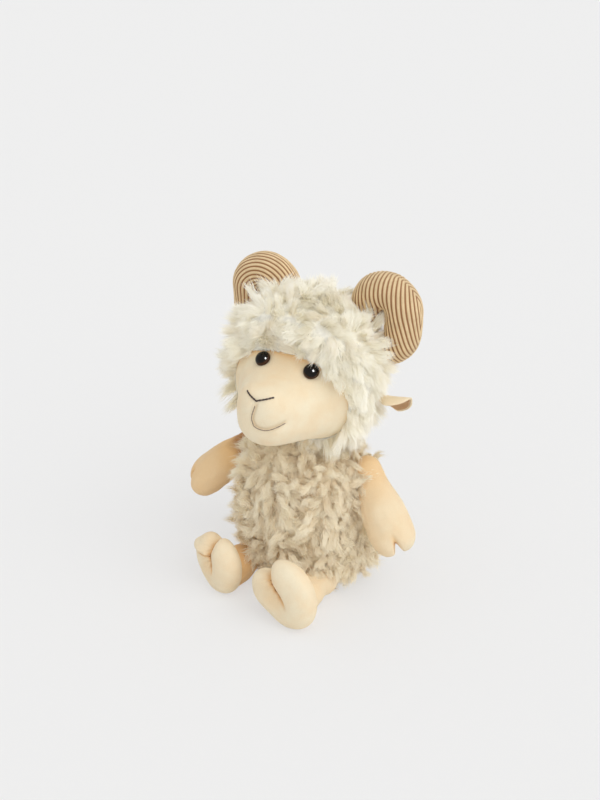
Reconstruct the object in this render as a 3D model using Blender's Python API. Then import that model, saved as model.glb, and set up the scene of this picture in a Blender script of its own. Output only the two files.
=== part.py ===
"""A sitting plush sheep with curled horns, built as the sewn toy is: skins of fleece and velour over their fillings.

The frame is in metres with +Z up. The origin is the middle of the flat seat, and the body faces -Y, so that
its left side is +X. The head has its own frame, with its origin in the middle of the skull, which is turned
a little to the left on the neck. Tables whose names end in SHARES hold shares of the sizes beside them.
"""

from math import acos, asin, atan2, copysign, cos, pi, radians, sin, sqrt

import bmesh
import bpy
from mathutils import Matrix, Vector
from mathutils.bvhtree import BVHTree

# Fits
seat_gap = 0.0003
joint_gap = 0.0006
shoulder_gap = 0.0009
flat_depth = 0.0005
overrun = 0.004

# Tufts of the fleece, whose crests lie on the sizes given for the body and the hood
tuft_spacing = 0.022
body_tuft_depth = 0.0025
body_lowest_tuft = 0.002
head_tuft_depth = 0.003
tuft_evenness_share = 2.6

# Torso
torso_half_width = 0.0445
torso_half_depth = 0.039
torso_widest_height = 0.038
torso_height = 0.106
torso_lean = 0.009
torso_fleece = 0.009
torso_seat_fullness_share = 3.6
torso_crown_fullness_share = 3.8
pouch_radius = 0.024
pouch_thickness = 0.012

# Neck
neck_height = 0.106
neck_forward = 0.008
neck_radius = 0.019

# Head: the skull's middle, and its filling measured from there
head_height = 0.158
head_turn = radians(7)
head_back = 0.041
head_front = 0.068
head_half_width = 0.041
head_half_height = 0.042
head_fullness_share = 2.35
hood_half_width = 0.0555
hood_half_depth = 0.0530
hood_half_height = 0.0545
hood_rise = 0.003
velour = 0.0016

# Face opening, given where it crosses a plane ahead of the skull's middle
opening_ahead = 0.020
opening_half_width = 0.043
opening_top = 0.018
opening_bottom = 0.042
opening_fullness_share = 2.4
opening_reach_share = 4.5

# Eyes
eye_radius = 0.0053
eye_dome = 0.0042
eye_across = 0.0178
eye_ahead = 0.0265
eye_rise = 0.0125
eye_lift = 0.0004
shank_radius = 0.0015
shank_length = 0.0095
washer_radius = 0.0055
washer_thickness = 0.0012
washer_set_back = 0.0034

# Nose and mouth threads
nose_thread_radius = 0.0006
mouth_thread_radius = 0.0004
nose_half_width = 0.0097
nose_tip_ahead = 0.0606
nose_tip_rise = 0.0094
nose_ahead = 0.0642
nose_rise = 0.0057
lip_ahead = 0.0683
lip_drop = 0.0030
lip_end_ahead = 0.0690
lip_end_drop = 0.0086
smile_half_width = 0.0185
smile_corner_ahead = 0.0612
smile_corner_drop = 0.0066
smile_low_ahead = 0.0680
smile_low_drop = 0.0108

# Horns
horn_across = 0.0444
horn_behind = 0.026
horn_rise = 0.0362
horn_bend_radius = 0.0126
horn_straight = 0.0140
horn_radius = 0.0124
horn_root_run = 0.0090
right_horn_drop = 0.0050
horn_end_angle = radians(135)
corduroy = 0.0016

# Ears
ear_length = 0.0225
ear_width = 0.012
ear_fold = radians(75)
ear_skin = 0.0012
ear_across = 0.0495
ear_behind = 0.012
ear_drop = 0.013
ear_droop = radians(4)
ear_roll = radians(35)
ear_socket = 0.0079

# Arms
shoulder_across = 0.0445
left_shoulder_forward = -0.0005
right_shoulder_forward = 0.008
left_shoulder_height = 0.0915
right_shoulder_height = 0.0885
arm_length = 0.062
arm_girth = 0.0138
arm_root_radius = 0.0095
left_arm_droop = radians(44)
right_arm_droop = radians(43)
left_arm_forward = radians(24)
right_arm_forward = radians(30)
arm_turn = radians(20)
hand_flatness_share = 0.84
hand_spread_share = 1.16
hand_cleft_depth = 0.011
hand_cleft_width = 0.0035

# Legs
hip_across = 0.029
hip_forward = 0.031
hip_height = 0.0125
leg_length = 0.039
leg_girth = 0.0112
leg_root_radius = 0.0105
left_leg_splay = radians(0)
right_leg_splay = radians(1)

# Feet
foot_half_width = 0.0220
foot_half_thickness = 0.0115
foot_height = 0.0500
foot_fullness_share = 2.5
foot_heel_share = 0.84
foot_cleft_depth = 0.024
foot_cleft_width = 0.0036
left_foot_turn = radians(0)
right_foot_turn = radians(0)
left_foot_lean = radians(-29)
right_foot_lean = radians(-14)

# Shares along the head from its back to the nose: station, half width, top and bottom
HEAD_SHARES = (
    (0.000, 0.00, 0.04, 0.04),
    (0.035, 0.42, 0.40, -0.36),
    (0.120, 0.76, 0.76, -0.72),
    (0.250, 0.96, 0.97, -0.93),
    (0.390, 1.02, 1.00, -0.99),
    (0.500, 1.02, 0.82, -0.96),
    (0.575, 0.97, 0.52, -0.90),
    (0.640, 0.82, 0.38, -0.84),
    (0.720, 0.69, 0.31, -0.78),
    (0.805, 0.57, 0.28, -0.72),
    (0.885, 0.46, 0.27, -0.66),
    (0.945, 0.35, 0.21, -0.58),
    (0.983, 0.21, 0.08, -0.42),
    (1.000, 0.00, -0.12, -0.12),
)

# Shares along a limb past its root ball: station of the length, then share of the girth
ARM_SHARES = (
    (0.150, 0.56),
    (0.230, 0.68),
    (0.330, 0.86),
    (0.470, 0.98),
    (0.640, 1.00),
    (0.780, 0.97),
    (0.890, 0.82),
    (0.965, 0.50),
    (1.000, 0.00),
)
LEG_SHARES = (
    (0.200, 0.80),
    (0.330, 0.94),
    (0.480, 1.02),
    (0.680, 1.00),
    (0.840, 0.96),
    (1.000, 0.86),
    (1.000, 0.00),
)

# Shares of the horn's radius from its root to its end
HORN_SHARES = (
    0.00, 0.78, 0.86, 0.92, 0.96, 0.99, 1.00, 1.00, 1.00, 1.00, 1.00, 1.00, 0.99, 0.97, 0.93, 0.86, 0.72, 0.46, 0.00,
)

# Colours, with roughness and metallic values
BODY_FLEECE = ("body_fleece", (0.66, 0.58, 0.46), 0.95, 0.0)
HEAD_FLEECE = ("head_fleece", (0.80, 0.75, 0.64), 0.95, 0.0)
CREAM_VELOUR = ("cream_velour", (0.82, 0.62, 0.36), 0.9, 0.0)
EAR_LINING = ("ear_lining", (0.62, 0.38, 0.22), 0.9, 0.0)
CORDUROY = ("striped_corduroy", (0.62, 0.44, 0.26), 0.9, 0.0)
EYE_PLASTIC = ("eye_plastic", (0.02, 0.012, 0.01), 0.12, 0.0)
WASHER_PLASTIC = ("washer_plastic", (0.75, 0.75, 0.72), 0.4, 0.0)
NOSE_THREAD = ("nose_thread", (0.10, 0.055, 0.04), 0.8, 0.0)
MOUTH_THREAD = ("mouth_thread", (0.25, 0.19, 0.14), 0.8, 0.0)
FIBRE = ("polyester_fibre", (0.85, 0.85, 0.83), 1.0, 0.0)
POUCH_CLOTH = ("pouch_cloth", (0.78, 0.76, 0.70), 0.9, 0.0)


def clear_scene():
    """Removes whatever the scene opened with."""
    for item in list(bpy.context.scene.objects):
        bpy.data.objects.remove(item)


def finish(finish_values):
    """The named material, made once."""
    name, colour, roughness, metallic = finish_values
    if name in bpy.data.materials:
        return bpy.data.materials[name]
    made = bpy.data.materials.new(name)
    made.use_nodes = True
    shader = made.node_tree.nodes["Principled BSDF"]
    shader.inputs["Base Color"].default_value = (*colour, 1)
    shader.inputs["Roughness"].default_value = roughness
    shader.inputs["Metallic"].default_value = metallic
    made.diffuse_color = (*colour, 1)
    return made


def face_outward(mesh):
    """Turns every face of a closed form outwards."""
    mesh.normal_update()
    bmesh.ops.recalc_face_normals(mesh, faces=mesh.faces)
    if mesh.calc_volume(signed=True) < 0:
        bmesh.ops.reverse_faces(mesh, faces=mesh.faces)


def add_piece(name, mesh, finish_values, parent=None):
    """Makes an object of a bmesh whose places are its parent's, and gives it its finish."""
    face_outward(mesh)
    data = bpy.data.meshes.new(name)
    mesh.to_mesh(data)
    mesh.free()
    data.shade_smooth()
    data.materials.append(finish(finish_values))
    piece = bpy.data.objects.new(name, data)
    bpy.context.collection.objects.link(piece)
    piece.parent = parent
    return piece


def add_cutter(name, mesh, parent=None):
    """Makes a hidden guide solid for Boolean cuts."""
    face_outward(mesh)
    data = bpy.data.meshes.new(name)
    mesh.to_mesh(data)
    mesh.free()
    cutter = bpy.data.objects.new(name, data)
    bpy.context.collection.objects.link(cutter)
    cutter.parent = parent
    cutter.hide_render = True
    cutter.display_type = "WIRE"
    return cutter


def boolean(piece, cutter, operation):
    """Adds a Boolean between two objects."""
    step = piece.modifiers.new(cutter.name, "BOOLEAN")
    step.object = cutter
    step.operation = operation
    step.solver = "EXACT"


def cut(piece, *cutters):
    """Takes the cutters away from a piece."""
    for cutter in cutters:
        boolean(piece, cutter, "DIFFERENCE")


def keep(piece, cutter):
    """Keeps only what lies inside the cutter."""
    boolean(piece, cutter, "INTERSECT")


def add_pivot(name, place, turn=0.0, parent=None):
    """An empty that stands on a joint's axis."""
    pivot = bpy.data.objects.new(name, None)
    bpy.context.collection.objects.link(pivot)
    pivot.location = place
    pivot.rotation_euler = (0, 0, turn)
    pivot.parent = parent
    return pivot


def squared(value, fullness):
    """A sine or cosine drawn out so that a round section becomes a fuller one."""
    return copysign(abs(value) ** (2 / fullness), value)


def ringed_form(segments, rows, place):
    """A closed form whose rings, poles included, go where place(row, angle) says."""
    mesh = bmesh.new()
    bmesh.ops.create_uvsphere(mesh, u_segments=segments, v_segments=rows - 1, radius=1)
    for point in mesh.verts:
        row = round(acos(max(-1, min(1, point.co.z))) / pi * (rows - 1))
        point.co = place(row, atan2(point.co.y, point.co.x))
    bmesh.ops.triangulate(mesh, faces=mesh.faces[:], quad_method="FIXED")
    face_outward(mesh)
    return mesh


def swelled(mesh, distance):
    """Moves a form's skin outwards along its own normals."""
    mesh.normal_update()
    moves = [point.normal * distance for point in mesh.verts]
    for point, move in zip(mesh.verts, moves):
        point.co += move
    return mesh


def ball(radius, centre, segments=20):
    """A sphere about a point."""
    mesh = bmesh.new()
    bmesh.ops.create_uvsphere(mesh, u_segments=segments, v_segments=segments // 2, radius=radius)
    bmesh.ops.translate(mesh, verts=mesh.verts, vec=centre)
    return mesh


def turned(profile, segments):
    """Spins a profile of (radius, height) points about the Z axis, from one pole to the other."""
    mesh = bmesh.new()
    points = [mesh.verts.new((radius, 0, height)) for radius, height in profile]
    for first, second in zip(points, points[1:]):
        mesh.edges.new((first, second))
    bmesh.ops.spin(
        mesh, geom=mesh.verts[:] + mesh.edges[:], cent=(0, 0, 0), axis=(0, 0, 1),
        angle=2 * pi, steps=segments, use_merge=True,
    )
    bmesh.ops.remove_doubles(mesh, verts=mesh.verts, dist=seat_gap / 10)
    face_outward(mesh)
    return mesh


def rod(radius, low, high, segments=12):
    """A solid cylinder about the Z axis."""
    return turned(((0, high), (radius, high), (radius, low), (0, low)), segments)


def flattened(mesh, height):
    """Cuts a form off flat at a height and closes it."""
    cut_edges = bmesh.ops.bisect_plane(
        mesh, geom=mesh.verts[:] + mesh.edges[:] + mesh.faces[:],
        plane_co=(0, 0, height), plane_no=(0, 0, -1), clear_outer=True, dist=seat_gap / 10,
    )["geom_cut"]
    rim = [item for item in cut_edges if isinstance(item, bmesh.types.BMEdge)]
    bmesh.ops.contextual_create(mesh, geom=rim)
    return mesh


def tufted(mesh, depth, lowest):
    """Sinks a fleece's outside in the hollows between its tufts, above its lowest tuft."""
    mesh.normal_update()
    outside = [(point, point.normal.copy()) for point in mesh.verts if point.co.z > lowest]
    for point, normal in outside:
        x, y, z = point.co * (2 * pi / tuft_spacing)
        wave = sin(x) * cos(y) + sin(y) * cos(z) + sin(z) * cos(x)
        crest = min(1, max(0, 0.5 + wave / tuft_evenness_share))
        point.co -= normal * depth * (1 - crest)
    return mesh


def mirrored(place, side):
    """A place given for the left side, on the side asked for: 1 is left and -1 is right."""
    return Vector((place[0] * side, place[1], place[2]))


def frame_along(direction, across):
    """A turn that carries Z to a direction and X as near as it can to another."""
    forward = Vector(direction).normalized()
    side = (Vector(across) - forward * forward.dot(Vector(across))).normalized()
    return Matrix((side, forward.cross(side), forward)).transposed()


def torso_form(segments, rows, swell):
    """The body's pear, with a full flat seat and a rounder crown, leaning forward as it rises."""
    def place(row, angle):
        polar = pi * row / (rows - 1)
        low = polar > pi / 2
        fullness = torso_seat_fullness_share if low else torso_crown_fullness_share
        reach = torso_widest_height + flat_depth if low else torso_height - torso_widest_height
        height = torso_widest_height + squared(cos(polar), fullness) * reach
        girth = squared(sin(polar), fullness)
        lean = torso_lean * sqrt(max(0, height) / torso_height)
        x = girth * torso_half_width * cos(angle)
        y = girth * torso_half_depth * sin(angle) - lean
        return Vector((x, y, height))

    return swelled(ringed_form(segments, rows, place), swell)


def head_form(segments, swell):
    """The head's filling: a skull that runs into a broad muzzle."""
    def place(row, angle):
        station, width, top, bottom = HEAD_SHARES[row]
        y = head_back - station * (head_back + head_front)
        middle = (top + bottom) / 2
        reach = (top - bottom) / 2
        x = width * head_half_width * squared(cos(angle), head_fullness_share)
        z = (middle + reach * squared(sin(angle), head_fullness_share)) * head_half_height
        return Vector((x, y, z))

    return swelled(ringed_form(segments, len(HEAD_SHARES), place), swell)


def hood_form(segments, swell):
    """The fleece hood's outside."""
    mesh = ball(1, (0, 0, 0), segments)
    bmesh.ops.triangulate(mesh, faces=mesh.faces[:], quad_method="FIXED")
    bmesh.ops.scale(mesh, vec=(hood_half_width, hood_half_depth, hood_half_height), verts=mesh.verts)
    bmesh.ops.translate(mesh, verts=mesh.verts, vec=(0, 0, hood_rise))
    return swelled(tufted(mesh, head_tuft_depth, -hood_half_height), swell)


def opening_form(segments, set_back):
    """A cone from inside the skull that marks where the face panel is let into the hood."""
    mesh = bmesh.new()
    middle = (opening_top - opening_bottom) / 2
    reach = (opening_top + opening_bottom) / 2
    tip = mesh.verts.new((0, -set_back, 0))
    rim = []
    for step in range(segments):
        angle = 2 * pi * step / segments
        x = opening_half_width * squared(cos(angle), opening_fullness_share)
        z = middle + reach * squared(sin(angle), opening_fullness_share)
        spot = opening_reach_share * Vector((x, -opening_ahead, z))
        rim.append(mesh.verts.new(spot - Vector((0, set_back, 0))))
    for first, second in zip(rim, [*rim[1:], rim[0]]):
        mesh.faces.new((tip, first, second))
    mesh.faces.new(rim)
    face_outward(mesh)
    return mesh


def limb_form(segments, root_radius, length, girth, shares, swell):
    """A limb along +Z whose root is a ball about the origin, swelling and tapering to its end."""
    stop = asin(min(1, girth * shares[0][1] / root_radius))
    arc_rows = 4
    rows = []
    for count in range(arc_rows):
        polar = (pi - stop) * count / (arc_rows - 1)
        rows.append((-root_radius * cos(polar), root_radius * sin(polar)))
    for station, share in shares:
        rows.append((station * length, share * girth))

    def place(row, angle):
        height, radius = rows[row]
        return Vector((radius * cos(angle), radius * sin(angle), height))

    return swelled(ringed_form(segments, len(rows), place), swell)


def horn_centre_line(distance):
    """A place and heading on the horn's middle line, in the plane of its curl, from the root's start."""
    half_turn = pi * horn_bend_radius
    upper = horn_straight / 2
    start = upper - horn_root_run
    if distance < horn_root_run:
        return Vector((-horn_bend_radius, 0, start + distance)), Vector((0, 0, 1))
    distance -= horn_root_run
    if distance < half_turn:
        turn = pi - distance / horn_bend_radius
        return (
            Vector((horn_bend_radius * cos(turn), 0, upper + horn_bend_radius * sin(turn))),
            Vector((sin(turn), 0, -cos(turn))),
        )
    distance -= half_turn
    if distance < horn_straight:
        return Vector((horn_bend_radius, 0, upper - distance)), Vector((0, 0, -1))
    turn = -(distance - horn_straight) / horn_bend_radius
    return (
        Vector((horn_bend_radius * cos(turn), 0, -upper + horn_bend_radius * sin(turn))),
        Vector((sin(turn), 0, -cos(turn))),
    )


def horn_form(segments, inset, side):
    """A stuffed horn that rises from the head, curls over outwards and comes back in underneath."""
    length = horn_root_run + pi * horn_bend_radius + horn_straight + horn_end_angle * horn_bend_radius
    last = len(HORN_SHARES) - 1

    def place(row, angle):
        share = row / last
        along = inset + (length - 2 * inset) * (1 - cos(pi * share)) / 2
        middle, heading = horn_centre_line(along)
        outward = Vector((heading.z, 0, -heading.x))
        radius = max(0, HORN_SHARES[row] * horn_radius - (inset if HORN_SHARES[row] else 0))
        spot = middle + radius * (cos(angle) * outward + sin(angle) * Vector((0, 1, 0)))
        drop = 0 if side > 0 else right_horn_drop
        return mirrored(Vector((horn_across, horn_behind, horn_rise - drop)) + spot, side)

    return ringed_form(segments, len(HORN_SHARES), place)


def ear_form(thickness, lift, inset):
    """A leaf folded round its length, pointing along +Z, with its hollow facing +Y."""
    mesh = bmesh.new()
    bmesh.ops.create_grid(mesh, x_segments=6, y_segments=5, size=1)
    for point in mesh.verts:
        along = (point.co.y + 1) / 2
        spread = sqrt(max(0, 1 - (max(0, along - 0.35) / 0.65) ** 2)) * 0.94 + 0.06
        width = ear_width * spread * (0.50 + 0.50 * min(1, along / 0.35))
        radius = width / ear_fold
        reach = inset + (ear_length - 2 * inset) * along
        angle = ear_fold * point.co.x * (1 - inset / ear_width)
        rise = radius - (radius - lift) * cos(angle)
        point.co = ((radius - lift) * sin(angle), rise, reach)
    face_outward(mesh)
    bmesh.ops.solidify(mesh, geom=mesh.faces[:], thickness=thickness)
    return mesh


def foot_form(segments, rows, swell):
    """An upright two-toed foot, broad at its toes, standing on its heel."""
    middle = foot_height / 2 - flat_depth

    def place(row, angle):
        polar = pi * row / (rows - 1)
        girth = squared(sin(polar), foot_fullness_share)
        depth = squared(cos(polar), foot_fullness_share) * foot_half_thickness
        x = girth * foot_half_width * squared(cos(angle), foot_fullness_share)
        z = middle + girth * foot_height / 2 * squared(sin(angle), foot_fullness_share)
        taper = foot_heel_share + (1 - foot_heel_share) * min(1, max(0, z / foot_height) * 2)
        return Vector((x * taper, depth, z))

    return swelled(ringed_form(segments, rows, place), swell)


def wedge(width, depth, thickness):
    """A slot cutter that opens upwards, with its root on the origin."""
    mesh = bmesh.new()
    bmesh.ops.create_cube(mesh, size=1)
    for point in mesh.verts:
        top = point.co.z > 0
        spread = 1 if top else 0.3
        height = depth + overrun if top else 0
        point.co = (point.co.x * width * spread, point.co.y * 2 * thickness, height)
    return mesh


def side_name(side):
    return "left" if side > 0 else "right"


def build_torso():
    """The fleece body skin, open at the neck, with its filling and the pouch of pellets in the seat."""
    pivot = add_pivot("torso_pivot", (0, 0, 0))
    skin = tufted(torso_form(40, 21, 0), body_tuft_depth, body_lowest_tuft)
    skin = add_piece("torso_fleece", flattened(skin, 0), BODY_FLEECE, pivot)
    inner = add_cutter("torso_inner", torso_form(14, 9, -torso_fleece), pivot)
    cut(skin, inner)
    filling = add_piece("torso_stuffing", torso_form(14, 9, -torso_fleece - seat_gap), FIBRE, pivot)
    middle = torso_fleece + seat_gap + pouch_thickness / 2

    def pillow(swell):
        mesh = ball(1, (0, 0, 0), 12)
        reach = pouch_thickness / 2 + swell
        bmesh.ops.scale(mesh, vec=(pouch_radius + swell, pouch_radius + swell, reach), verts=mesh.verts)
        bmesh.ops.translate(mesh, verts=mesh.verts, vec=(0, 0, middle))
        return mesh

    add_piece("pellet_pouch", pillow(0), POUCH_CLOTH, pivot)
    hollow = add_cutter("pouch_hollow", pillow(seat_gap), pivot)
    well = turned(
        ((0, middle), (pouch_radius / 2, middle), (pouch_radius / 2, 0), (0, 0)), 12,
    )
    cut(filling, hollow, add_cutter("pouch_mouth", well, pivot))
    socket_centre = (0, -neck_forward, neck_height)
    socket = add_cutter("torso_neck_socket", ball(neck_radius + joint_gap, socket_centre, 20), pivot)
    cut(skin, socket)
    cut(filling, socket)
    return skin, filling


def build_neck(neck):
    """The firm ball of filling that the head turns and nods on."""
    add_piece("neck_stuffing", ball(neck_radius, (0, 0, 0), 18), FIBRE, neck)


def face_surface():
    """The velour face's outer skin, to lay threads and eyes on."""
    mesh = head_form(20, seat_gap + velour)
    tree = BVHTree.FromBMesh(mesh)
    mesh.free()
    return tree


def build_head(head):
    """The head's filling, the velour face and the fleece hood."""
    filling = add_piece("head_stuffing", head_form(20, 0), FIBRE, head)
    face = add_piece("face_panel", head_form(20, seat_gap + velour), CREAM_VELOUR, head)
    hood = add_piece("fleece_hood", hood_form(44, 0), HEAD_FLEECE, head)
    inner = add_cutter("head_inner", head_form(20, seat_gap), head)
    slant = opening_half_width / sqrt(opening_half_width ** 2 + opening_ahead ** 2)
    hood_mouth = add_cutter("hood_mouth", opening_form(24, 0), head)
    face_edge = add_cutter("face_edge", opening_form(24, 2 * seat_gap / slant), head)
    cut(hood, inner, hood_mouth)
    keep(face, face_edge)
    cut(face, inner)
    socket_centre = (0, 0, neck_height - head_height)
    socket = add_cutter("head_neck_socket", ball(neck_radius + joint_gap, socket_centre, 20), head)
    cut(hood, socket)
    cut(filling, socket)
    return filling, face, hood


def build_eyes(head, surface, filling, face):
    """Two domed eyes whose shanks go through the face into a locking washer behind it."""
    dome = [(eye_radius * sin(pi / 2 * step / 5), eye_dome * cos(pi / 2 * step / 5)) for step in range(6)]
    for side in (1, -1):
        name = side_name(side)
        spot = mirrored((eye_across, -eye_ahead, eye_rise), side)
        seat, axis = surface.find_nearest(spot)[:2]
        place = Matrix.Translation(seat + axis * eye_lift) @ frame_along(axis, (1, 0, 0)).to_4x4()
        shank_end = -eye_lift - shank_length
        eye = turned([*dome, (shank_radius, 0), (shank_radius, shank_end), (0, shank_end)], 20)
        bmesh.ops.transform(eye, matrix=place, verts=eye.verts)
        add_piece(f"eye_{name}", eye, EYE_PLASTIC, head)
        top = -eye_lift - washer_set_back
        bottom = top - washer_thickness
        inner = shank_radius + seat_gap
        washer = turned(
            ((inner, top), (washer_radius, top), (washer_radius, bottom), (inner, bottom), (inner, top)), 16,
        )
        bmesh.ops.transform(washer, matrix=place, verts=washer.verts)
        add_piece(f"eye_washer_{name}", washer, WASHER_PLASTIC, head)
        hole = rod(inner, shank_end, eye_dome, 12)
        bmesh.ops.transform(hole, matrix=place, verts=hole.verts)
        recess = rod(eye_radius + seat_gap, -seat_gap, eye_dome, 20)
        bmesh.ops.transform(recess, matrix=place, verts=recess.verts)
        cut(face, add_cutter(f"eye_hole_{name}", hole, head), add_cutter(f"eye_recess_{name}", recess, head))
        pocket = rod(washer_radius + seat_gap, shank_end - seat_gap, eye_dome, 16)
        bmesh.ops.transform(pocket, matrix=place, verts=pocket.verts)
        cut(filling, add_cutter(f"eye_pocket_{name}", pocket, head))


def smooth_route(points, steps):
    """Places along a smooth curve through chosen points, ends included."""
    ends = [2 * points[0] - points[1], *points, 2 * points[-1] - points[-2]]
    route = []
    for before, start, end, after in zip(ends, ends[1:], ends[2:], ends[3:]):
        for step in range(steps):
            t = step / steps
            route.append(
                0.5 * (
                    2 * start + (end - before) * t
                    + (2 * before - 5 * start + 4 * end - after) * t ** 2
                    + (3 * start - before - 3 * end + after) * t ** 3
                )
            )
    return [*route, points[-1].copy()]


def add_thread(name, route, radius, finish_values, surface, head):
    """A line of stitching laid on the face."""
    curve = bpy.data.curves.new(name, "CURVE")
    curve.dimensions = "3D"
    curve.bevel_depth = radius
    curve.bevel_resolution = 1
    curve.use_fill_caps = True
    spline = curve.splines.new("POLY")
    spline.points.add(len(route) - 1)
    for point, spot in zip(spline.points, route):
        place, normal = surface.find_nearest(spot)[:2]
        lift = radius + seat_gap
        point.co = (*(place + normal * lift), 1)
    curve.materials.append(finish(finish_values))
    thread = bpy.data.objects.new(name, curve)
    bpy.context.collection.objects.link(thread)
    thread.parent = head


def build_threads(head, surface):
    """The stitched nose, the line below it and the smile."""
    def spot(across, ahead, rise):
        return Vector((across, -ahead, rise))

    def nose_arm(side):
        tip = spot(nose_half_width * side, nose_tip_ahead, nose_tip_rise)
        middle = spot(0, nose_ahead, nose_rise)
        return smooth_route([tip, (tip + middle) / 2, middle], 4)

    nose = [*nose_arm(-1), *reversed(nose_arm(1)[:-1])]
    add_thread("nose_stitches", nose, nose_thread_radius, NOSE_THREAD, surface, head)
    below = 2 * (nose_thread_radius + mouth_thread_radius)
    lip = smooth_route(
        [
            spot(0, nose_ahead, nose_rise - below),
            spot(0, lip_ahead, -lip_drop),
            spot(0, lip_end_ahead, -lip_end_drop),
        ], 4,
    )
    add_thread("lip_stitches", lip, mouth_thread_radius, MOUTH_THREAD, surface, head)
    centre_drop = lip_end_drop + 2 * mouth_thread_radius + seat_gap * 3
    smile = smooth_route(
        [
            spot(-smile_half_width, smile_corner_ahead, -smile_corner_drop),
            spot(-smile_half_width / 2, smile_low_ahead, -smile_low_drop),
            spot(0, lip_end_ahead, -centre_drop),
            spot(smile_half_width / 2, smile_low_ahead, -smile_low_drop),
            spot(smile_half_width, smile_corner_ahead, -smile_corner_drop),
        ], 4,
    )
    add_thread("smile_stitches", smile, mouth_thread_radius, MOUTH_THREAD, surface, head)


def build_horns(head):
    """Two stuffed corduroy horns, cut to sit against the hood."""
    seat = add_cutter("horn_seat", hood_form(44, seat_gap), head)
    for side in (1, -1):
        name = side_name(side)
        skin = add_piece(f"horn_{name}", horn_form(12, 0, side), CORDUROY, head)
        inner = add_cutter(f"horn_inner_{name}", horn_form(8, corduroy, side), head)
        cut(skin, inner, seat)
        filling = add_piece(f"horn_stuffing_{name}", horn_form(8, corduroy + seat_gap, side), FIBRE, head)
        cut(filling, seat)


def build_ears(head, hood):
    """Two small folded ears with a darker lining, each in its own socket in the fleece."""
    for side in (1, -1):
        name = side_name(side)
        root = mirrored((ear_across, ear_behind, -ear_drop), side)
        pivot = add_pivot(f"ear_pivot_{name}", root, parent=head)
        heading = Vector((cos(ear_droop) * side, 0, -sin(ear_droop)))
        hollow = Vector((0, -cos(ear_roll), -sin(ear_roll)))
        turn = frame_along(heading, hollow.cross(heading)).to_4x4()
        outer = ear_form(ear_skin, 0, 0)
        bmesh.ops.transform(outer, matrix=turn, verts=outer.verts)
        add_piece(f"ear_{name}", outer, CREAM_VELOUR, pivot)
        lining = ear_form(ear_skin, ear_skin + 2 * seat_gap, ear_skin)
        bmesh.ops.transform(lining, matrix=turn, verts=lining.verts)
        add_piece(f"ear_lining_{name}", lining, EAR_LINING, pivot)
        cut(hood, add_cutter(f"ear_socket_{name}", ball(ear_socket, root, 16), head))


def build_arms(skin):
    """Two stuffed arms with cloven hands, each hung from a ball root in the body's fleece."""
    poses = {
        1: (left_arm_droop, left_arm_forward, left_shoulder_forward, left_shoulder_height),
        -1: (right_arm_droop, right_arm_forward, right_shoulder_forward, right_shoulder_height),
    }
    for side in (1, -1):
        name = side_name(side)
        droop, ahead, forward, height = poses[side]
        centre = mirrored((shoulder_across, -forward, height), side)
        pivot = add_pivot(f"shoulder_{name}", centre)
        level = Vector((cos(ahead) * side, -sin(ahead), 0))
        heading = level * cos(droop) - Vector((0, 0, sin(droop)))
        palm = Vector((sin(arm_turn + ahead) * side, -cos(arm_turn + ahead), 0))
        turn = frame_along(heading, palm.cross(heading)).to_4x4()

        def arm(segments, swell):
            mesh = limb_form(segments, arm_root_radius, arm_length, arm_girth, ARM_SHARES, swell)
            for point in mesh.verts:
                share = min(1, max(0, point.co.z / arm_length))
                point.co.x *= 1 + (hand_spread_share - 1) * share
                point.co.y *= 1 + (hand_flatness_share - 1) * share
            bmesh.ops.transform(mesh, matrix=turn, verts=mesh.verts)
            return mesh

        cover = add_piece(f"arm_{name}", arm(14, 0), CREAM_VELOUR, pivot)
        inner = add_cutter(f"arm_inner_{name}", arm(8, -velour), pivot)
        mouth = rod(arm_root_radius / 2, -arm_root_radius - overrun, 0, 10)
        bmesh.ops.transform(mouth, matrix=turn, verts=mouth.verts)
        cleft = wedge(hand_cleft_width, hand_cleft_depth, arm_girth)
        bmesh.ops.translate(cleft, verts=cleft.verts, vec=(0, 0, arm_length - hand_cleft_depth))
        bmesh.ops.transform(cleft, matrix=turn, verts=cleft.verts)
        mouth_cutter = add_cutter(f"arm_mouth_{name}", mouth, pivot)
        cut(cover, inner, mouth_cutter, add_cutter(f"hand_cleft_{name}", cleft, pivot))
        filling = add_piece(f"arm_stuffing_{name}", arm(8, -velour - seat_gap), FIBRE, pivot)
        room = wedge(hand_cleft_width + 2 * (velour + seat_gap), hand_cleft_depth + velour, arm_girth)
        bmesh.ops.translate(room, verts=room.verts, vec=(0, 0, arm_length - hand_cleft_depth - velour))
        bmesh.ops.transform(room, matrix=turn, verts=room.verts)
        cut(filling, add_cutter(f"hand_room_{name}", room, pivot))
        cut(skin, add_cutter(f"arm_socket_{name}", ball(arm_root_radius + shoulder_gap, centre, 16)))


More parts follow.
